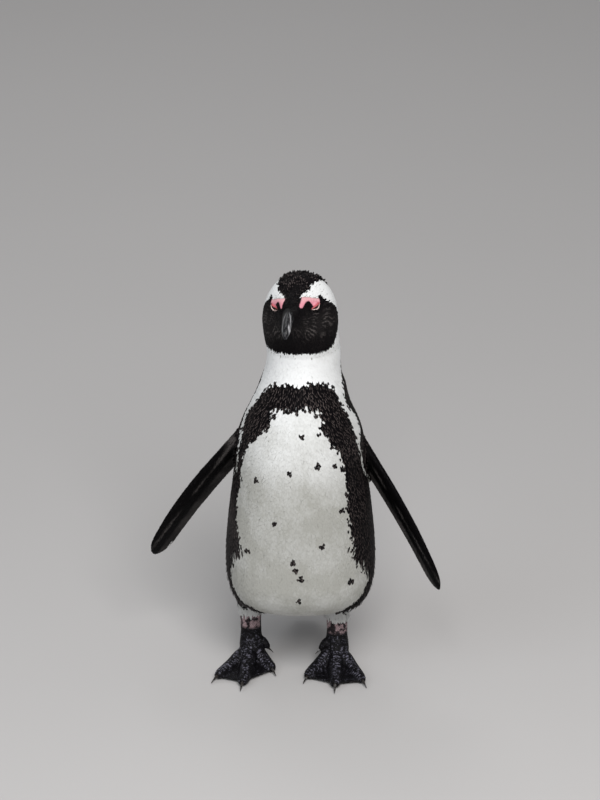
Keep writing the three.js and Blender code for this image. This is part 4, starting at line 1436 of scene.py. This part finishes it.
def lay_pieces(roots, groups, unwrap):
    """Lays each named group of feathers as a piece of its own."""
    for name, chosen in groups.items():
        ob = lay_feathers(name, fine_skin(), roots, chosen, unwrap)
        pale = "white" in name or "legs" in name  # the fringe of the thighs is mostly white
        finish_piece(ob, feather_material())


class PENGUIN_OT_skin(bpy.types.Operator):
    """Joins the body, flippers, tail, legs and feet in one smooth skin with lids and scutes"""

    bl_idname = "penguin.skin"
    bl_label = "Skin"

    def execute(self, context):
        settings = context.scene.penguin_skin
        fine = self.join(settings.voxel)
        tract = self.form(fine)
        skin = twin(fine, "skin")
        self.thin_out(skin, tract, settings.triangles)
        paint_skin(skin.data, np.round(field(skin.data, "tract")))
        finish_piece(skin, skin_material(), FLESH)
        self.comb(fine, tract)
        return {"FINISHED"}

    def join(self, voxel):
        """Makes one closed mesh of the nodes of flesh, which knows each point's tract."""
        shell = fill_hollows(flesh_shell())
        source = twin(shell, "flesh_source")
        fine = modified(shell, "REMESH", mode="VOXEL", voxel_size=voxel)
        fine.name = "skin_fine"
        tract = np.round(sample_nearest(fine, source, {"tract": "FLOAT"})["tract"])
        discard(source)
        self.smooth(fine, tract)
        return fine

    def smooth(self, fine, tract):
        """Smooths the facets away, keeps each part's girth, and draws the skin in by the coat's depth."""
        at, edges = places(fine.data), edges_of(fine.data)
        share = relax(softness(tract, normals(fine.data)), edges, 0.5, 6)
        even = relax(at, edges, share, SMOOTHING_ROUNDS)
        at = even + relax(at - even, edges, 0.5, GIRTH_ROUNDS)
        place_all(fine.data, at)
        depth = relax(coat_depth(tract, Place(at)), edges, 0.5, 8)
        up = unit(relax(normals(fine.data), edges, 0.5, 2))
        place_all(fine.data, at - up * (depth + OVERLAP)[:, None])
        store(fine.data, "tract", tract)

    def form(self, fine):
        """Forms the lids, the wrinkles over the eyes and the scutes. Gives each point's tract."""
        for reach in EYE_FINENESS:
            refine(fine, near_eyes(reach))
        at = close_lids(places(fine.data))
        place_all(fine.data, at)
        place = Place(at)
        tract = np.where(place.z > FACE_FOOT, TRACTS["head"], field(fine.data, "tract"))
        store(fine.data, "tract", tract)
        _, relief = scutes(at, normals(fine.data))
        wrinkles = pink_patch(place) * (tract == TRACTS["head"]) * WRINKLE * ripple(at, 2.0, 3)
        relief = relief * bare_feet(place, tract) + wrinkles
        place_all(fine.data, at + normals(fine.data) * relief[:, None])
        return tract

    def bare(self, mesh, tract):
        """Where no feathers grow: feet and shanks, the pink patches, the lids and round the slits."""
        at = places(mesh)
        bare = bare_feet(Place(at), tract) | (bare_face(at) > 0.5) & (tract == TRACTS["head"])
        for side in ("left", "right"):
            over, across, height, gap = eye_place(at, side)
            bare |= (gap < 1.3) & (height > 2) & (np.hypot(over, across) < EYE_RADIUS)
        return bare

    def thin_out(self, skin, tract, triangles):
        """Takes triangles out where the plumage hides the skin, and keeps the bare parts whole."""
        bare = np.where(self.bare(skin.data, tract), 1.0, 0.0)
        kept = np.round(np.maximum(relax(bare, edges_of(skin.data), 0.5, 10), 0.02), 1)
        group = skin.vertex_groups.new(name="kept")
        for level in np.unique(kept):
            group.add(np.flatnonzero(kept == level).tolist(), float(level), "REPLACE")
        now = sum(len(p.vertices) - 2 for p in skin.data.polygons)
        modified(skin, "DECIMATE", ratio=triangles / now, vertex_group="kept",
                 invert_vertex_group=True, vertex_group_factor=40.0)
        skin.vertex_groups.clear()

    def comb(self, fine, tract):
        """Lays down the coat's flow, and takes the bare places out of the tracts."""
        at, edges = places(fine.data), edges_of(fine.data)
        up = unit(relax(normals(fine.data), edges, 0.5, 12))
        tract = np.where(self.bare(fine.data, tract), 0, tract)
        store(fine.data, "up", up)
        store(fine.data, "flow", unit(relax(flow_over(at, up, tract), edges, 0.5, 25)))
        store(fine.data, "tract", tract)


class PENGUIN_OT_body_plumage(bpy.types.Operator):
    """Covers the trunk and the neck with overlapping feathers"""

    bl_idname = "penguin.body_plumage"
    bl_label = "Body plumage"

    def execute(self, context):
        roots = grow_feathers(fine_skin(), "body", *coat_sizes("body"), seed=11)
        place = Place(roots["root"])
        white = roots["tone"] > BLACK
        front = place.away < FRONT
        high = place.z > BREAST_SPLIT
        lay_pieces(roots, {
            "plumage_neck_white": white & (place.z > NECK_SPLIT),
            "plumage_breast_white": white & high & (place.z <= NECK_SPLIT),
            "plumage_belly_white": white & ~high,
            "plumage_band_black": ~white & front,
            "plumage_mantle_black": ~white & ~front & high,
            "plumage_rump_black": ~white & ~front & ~high,
        }, round_the_body)
        return {"FINISHED"}


class PENGUIN_OT_head_plumage(bpy.types.Operator):
    """Covers the head with short feathers, shortest round the bill"""

    bl_idname = "penguin.head_plumage"
    bl_label = "Head plumage"

    def execute(self, context):
        roots = grow_feathers(fine_skin(), "head", *coat_sizes("head"), seed=23)
        place = Place(roots["root"])
        white = roots["tone"] > BLACK
        crown = (place.head_z > CROWN_SPLIT) | (place.away > FACE_SIDE)
        lay_pieces(roots, {
            "plumage_brow_white": white,
            "plumage_crown_black": ~white & crown,
            "plumage_mask_black": ~white & ~crown,
        }, round_the_crown)
        return {"FINISHED"}


class PENGUIN_OT_limb_plumage(bpy.types.Operator):
    """Covers the flippers and the tail with small scale-like feathers and the thighs with a white fringe"""

    bl_idname = "penguin.limb_plumage"
    bl_label = "Flipper, tail and leg plumage"

    def execute(self, context):
        sizes = coat_sizes("flipper")
        for seed, name in enumerate(("flipper_left", "flipper_right"), start=31):
            roots = grow_feathers(fine_skin(), name, *sizes, seed)
            roots["tone"] = flipper_tone(roots["shown"], name)
            lay_pieces(roots, {f"plumage_{name}": ALL}, both_faces(name))
        sizes = [size * share for size, share in zip(sizes, TAIL_SHARES)]
        roots = grow_feathers(fine_skin(), "tail", *sizes, 37)
        roots["tone"] = np.full(len(roots["tone"]), BLACK)
        lay_pieces(roots, {"plumage_tail": ALL}, both_faces("tail"))
        lay_pieces(tail_quills(), {"tail_quills": ALL}, both_faces("tail"))
        roots = grow_feathers(fine_skin(), "legs", *THIGH_SIZES, 41)
        roots["tone"] = np.where(black_thigh(Place(roots["shown"])), BLACK, WHITE)
        roots["dull"] *= roots["tone"]
        roots["lift"] *= np.random.default_rng(42).uniform(0.5, 1.6, len(roots["lift"]))
        lay_pieces(roots, {"plumage_legs": ALL}, round_the_legs)
        return {"FINISHED"}


JOIN_ANGLE, JOIN_SHAPE = math.radians(30), math.radians(60)  # triangles this near to flat become quads
CREASE = 0.7  # how sharp the kept edges stay


def smooth_copy(part, name, levels, sharp=50.0):
    """A CAD node's surface, rounded by subdivision. Edges over `sharp` degrees are kept."""
    bm = cad_copy(part)
    limits = {"angle_face_threshold": JOIN_ANGLE, "angle_shape_threshold": JOIN_SHAPE}
    bmesh.ops.join_triangles(bm, faces=bm.faces, **limits)
    layer = bm.edges.layers.float.new("crease_edge")
    for edge in bm.edges:
        if len(edge.link_faces) == 2 and edge.calc_face_angle() > math.radians(sharp):
            edge[layer] = CREASE
    mesh = bpy.data.meshes.new(name)
    bm.to_mesh(mesh)
    bm.free()
    ob = modified(add_object(name, mesh), "SUBSURF", levels=levels, render_levels=levels)
    ob.data.shade_smooth()
    return ob


# Half the width of the smooth plate on top of the bill, and the places of the cross grooves, along the bill.
PLATE_HALF = [(10, 0.3), (18, 2.2), (26, 3.8), (32, 4.5), (40, 4.6), (48, 4.4), (52, 3.2)]
BILL_RINGS = [33.0, 37.0, 41.0, 45.0]
PLATE_DEPTH, RING_DEPTH, NOSTRIL_DEPTH, GROOVE_DEPTH, LOWER_DEPTH = 0.35, 0.28, 1.4, 0.45, 0.35
NOSTRIL = 12  # from the edge of the feathers forward
BAND = 39  # the bill's pale cross band
GRAIN = 0.05  # unevenness of the horn


class PENGUIN_OT_bill(bpy.types.Operator):
    """Makes both mandibles, with grooves, nostrils, pale worn edges and painted highlights on the bird's left
    side
    """

    bl_idname = "penguin.bill"
    bl_label = "Bill"

    def execute(self, context):
        horn = context.scene.penguin_horn
        material = horn_material("bill_horn", horn.bill_colour, horn.band_and_highlight_colour)
        parts = (("bill_upper", 4, self.carve_upper), ("bill_lower", 3, self.carve_lower))
        for name, levels, carve in parts:
            ob = smooth_copy(name, name + "_horn", levels)
            at = places(ob.data)
            ahead, beside, above = along_bill(at)
            depth, pale = carve(ahead, beside, above)
            depth = depth + GRAIN * ripple(at, 2.2, 17)
            # The pale horn: the band and worn edges, with painted highlights.
            store(ob.data, "band", np.clip(pale, 0, 1))
            # Darker with painted shade, and rougher, where the bill runs in under the feathers.
            store(ob.data, "matt", smoothstep(ahead, 25, 9))
            place_all(ob.data, at - normals(ob.data) * depth[:, None])
            finish_piece(ob, material, [name])
        return {"FINISHED"}

    def rings(self, ahead, above):
        return sum(hump(ahead, ring - 0.3 * np.abs(above), 0.55) for ring in BILL_RINGS)

    def carve_upper(self, ahead, beside, above):
        """Depth of the plate's edge, the cross grooves, the nostrils and their groove, and the pale horn with
        its painted highlights.
        """
        off_plate = np.abs(beside) - along(PLATE_HALF, ahead)
        sides = smoothstep(off_plate, 0, 0.9)
        edge = hump(off_plate, 0, 0.6) * smoothstep(ahead, 8, 14) * smoothstep(ahead, 54, 51) * (above > 1.5)
        slit = hump(above, 5.4 - 0.03 * (ahead - NOSTRIL), 0.75)
        nostril = slit * np.exp(-(((ahead - NOSTRIL) / 3.2) ** 4))
        groove = slit * smoothstep(ahead, 12, 16) * smoothstep(ahead, 38, 31)
        depth = PLATE_DEPTH * edge + RING_DEPTH * self.rings(ahead, above) * sides
        depth = depth + NOSTRIL_DEPTH * nostril + GROOVE_DEPTH * groove
        # The plate's worn edge is pale, and palest on the bird's left, where a highlight is painted in. A
        # painted highlight patch lies near the hook.
        left = smoothstep(beside, -0.5, 1.0)
        pale = edge * mix(0.45, 0.75 * smoothstep(ahead, 44, 34), left) * smoothstep(ahead, 12, 26)
        pale += 0.95 * smoothstep(beside, 2.1, 3.1) * hump(ahead, 45.5, 3.6)
        # The pale cross band, lighter on the bird's left with painted highlight.
        pale += 0.2 * mix(0.4, 1, left) * sides * hump(ahead, BAND, 2.5)
        return depth, pale

    def carve_lower(self, ahead, beside, above):
        """Depth of the groove along each side and the cross grooves, and the pale horn."""
        groove = hump(above, -4.2, 0.6) * smoothstep(ahead, 4, 8) * smoothstep(ahead, 36, 30)
        depth = LOWER_DEPTH * groove + RING_DEPTH * self.rings(ahead, above)
        return depth, 0.6 * hump(ahead, BAND, 2.6) + 0.15 * smoothstep(ahead, 44, 49)


class PENGUIN_OT_eyes(bpy.types.Operator):
    """Makes both eyeballs, with a pupil and a brown iris under a clear wet surface"""

    bl_idname = "penguin.eyes"
    bl_label = "Eyes"

    def execute(self, context):
        material = eye_material()
        for side in ("left", "right"):
            centre, outwards, _, _ = eye_frame(side)
            bm = bmesh.new()
            bmesh.ops.create_icosphere(bm, subdivisions=5, radius=(EYE_RADIUS - 0.05) * MM)
            mesh = bpy.data.meshes.new(f"eyeball_{side}")
            bm.to_mesh(mesh)
            bm.free()
            at = places(mesh)
            gaze = np.degrees(np.arccos(np.clip(unit(at) @ outwards, -1, 1)))
            place_all(mesh, at + centre)
            store(mesh, "gaze", gaze)
            mesh.shade_smooth()
            finish_piece(add_object(mesh.name, mesh), material, [f"eye_{side}"])
        return {"FINISHED"}


class PENGUIN_OT_claws(bpy.types.Operator):
    """Makes the eight claws"""

    bl_idname = "penguin.claws"
    bl_label = "Claws"

    def execute(self, context):
        horn = context.scene.penguin_horn
        material = horn_material("claw_horn", horn.claw_colour, horn.band_and_highlight_colour)
        for side in ("left", "right"):
            for toe in ("inner", "middle", "outer", "hind"):
                name = f"claw_{side}_{toe}"
                ob = smooth_copy(name, name + "_horn", 2, sharp=80)
                store(ob.data, "band", np.zeros(len(ob.data.vertices)))
                finish_piece(ob, material, [name])
        return {"FINISHED"}


FLOOR_HALF = 4000.0
FLOOR_GAP = 0.05  # the floor lies this far under the soles
AIM = (-0.6, 0, 300.0)  # the point of the bird's axis that the camera is set by
AIM_RAISED = 35.7  # how far above that point it looks
# Each lamp's place and size in metres, its share of the key light's power, and its colour.
LAMPS = [
    ("key", (0.3, -1.9, 2.25), 1.4, 2.5, (1.0, 0.985, 0.965)),
    ("fill", (-1.9, -1.5, 1.9), 1.6, 0.45, (0.86, 0.94, 1.0)),
    ("rim", (-0.5, 1.9, 2.2), 1.2, 0.35, (1.0, 1.0, 1.0)),
]
LIT_FROM = Vector((0, 0, 0.27))  # the lamps point here


class PENGUIN_OT_stage(bpy.types.Operator):
    """Sets the plain floor, the soft studio light and the camera"""

    bl_idname = "penguin.stage"
    bl_label = "Stage"

    def execute(self, context):
        stage = context.scene.penguin_stage
        self.add_floor(stage)
        self.add_light(context, stage)
        self.add_camera(context, stage)
        context.scene.view_settings.view_transform = "Standard"
        return {"FINISHED"}

    def add_floor(self, stage):
        square = np.array([(-1, -1), (1, -1), (1, 1), (-1, 1)]) * FLOOR_HALF
        at = np.column_stack([square, np.full(4, -FLOOR_GAP)])
        floor = object_from("floor", at, np.array([[0, 1, 2, 3]]))
        floor.data.materials.append(floor_material(tuple(stage.floor_colour)))

    def add_light(self, context, stage):
        world = bpy.data.worlds.new("sky")
        world.use_nodes = True
        sky = {"Color": (1, 1, 1, 1), "Strength": stage.world_light}
        connect(world.node_tree.nodes["Background"], sky)
        context.scene.world = world
        for name, at, size, power, colour in LAMPS:
            lamp = bpy.data.lights.new(name, "AREA")
            lamp.size = size
            lamp.color = colour
            lamp.energy = stage.key_light * power
            ob = add_object(name, lamp)
            ob.location = at
            ob.rotation_euler = (LIT_FROM - Vector(at)).to_track_quat("-Z", "Y").to_euler()

    def add_camera(self, context, stage):
        data = bpy.data.cameras.new("camera")
        data.lens = stage.lens
        data.clip_end = 50
        tilt = stage.elevation
        raised = np.array([0, math.sin(tilt), math.cos(tilt)])
        back = np.array([0, -math.cos(tilt), math.sin(tilt)])
        aim = AXIS * MM + np.array(AIM) * MM + raised * AIM_RAISED * MM
        ob = add_object("camera", data)
        ob.location = aim + back * stage.distance
        ob.rotation_euler = (math.pi / 2 - tilt, 0, 0)
        context.scene.camera = ob


OPERATORS = [
    PENGUIN_OT_skin,
    PENGUIN_OT_body_plumage,
    PENGUIN_OT_head_plumage,
    PENGUIN_OT_limb_plumage,
    PENGUIN_OT_bill,
    PENGUIN_OT_eyes,
    PENGUIN_OT_claws,
    PENGUIN_OT_stage,
]
SETTINGS = {
    "penguin_skin": PenguinSkin,
    "penguin_plumage": PenguinPlumage,
    "penguin_horn": PenguinHorn,
    "penguin_stage": PenguinStage,
}


class PENGUIN_PT_panel(bpy.types.Panel):
    """Lists the penguin's pieces and their settings"""

    bl_idname = "PENGUIN_PT_panel"
    bl_label = "African Penguin"
    bl_space_type = "VIEW_3D"
    bl_region_type = "UI"
    bl_category = "Penguin"

    def draw(self, context):
        for operator in OPERATORS:
            self.layout.operator(operator.bl_idname)
        for name in SETTINGS:
            box = self.layout.box()
            group = getattr(context.scene, name)
            for key in group.bl_rna.properties.keys():
                if key not in ("rna_type", "name"):
                    box.prop(group, key)


def register():
    for each in [*SETTINGS.values(), *OPERATORS, PENGUIN_PT_panel]:
        bpy.utils.register_class(each)
    for name, kind in SETTINGS.items():
        setattr(bpy.types.Scene, name, PointerProperty(type=kind))


def unregister():
    for name in SETTINGS:
        delattr(bpy.types.Scene, name)
    for each in reversed([*SETTINGS.values(), *OPERATORS, PENGUIN_PT_panel]):
        bpy.utils.unregister_class(each)


def main():
    register()
    for operator in OPERATORS:
        group, name = operator.bl_idname.split(".")
        getattr(getattr(bpy.ops, group), name)()
    discard(fine_skin())


if __name__ == "__main__":
    main()
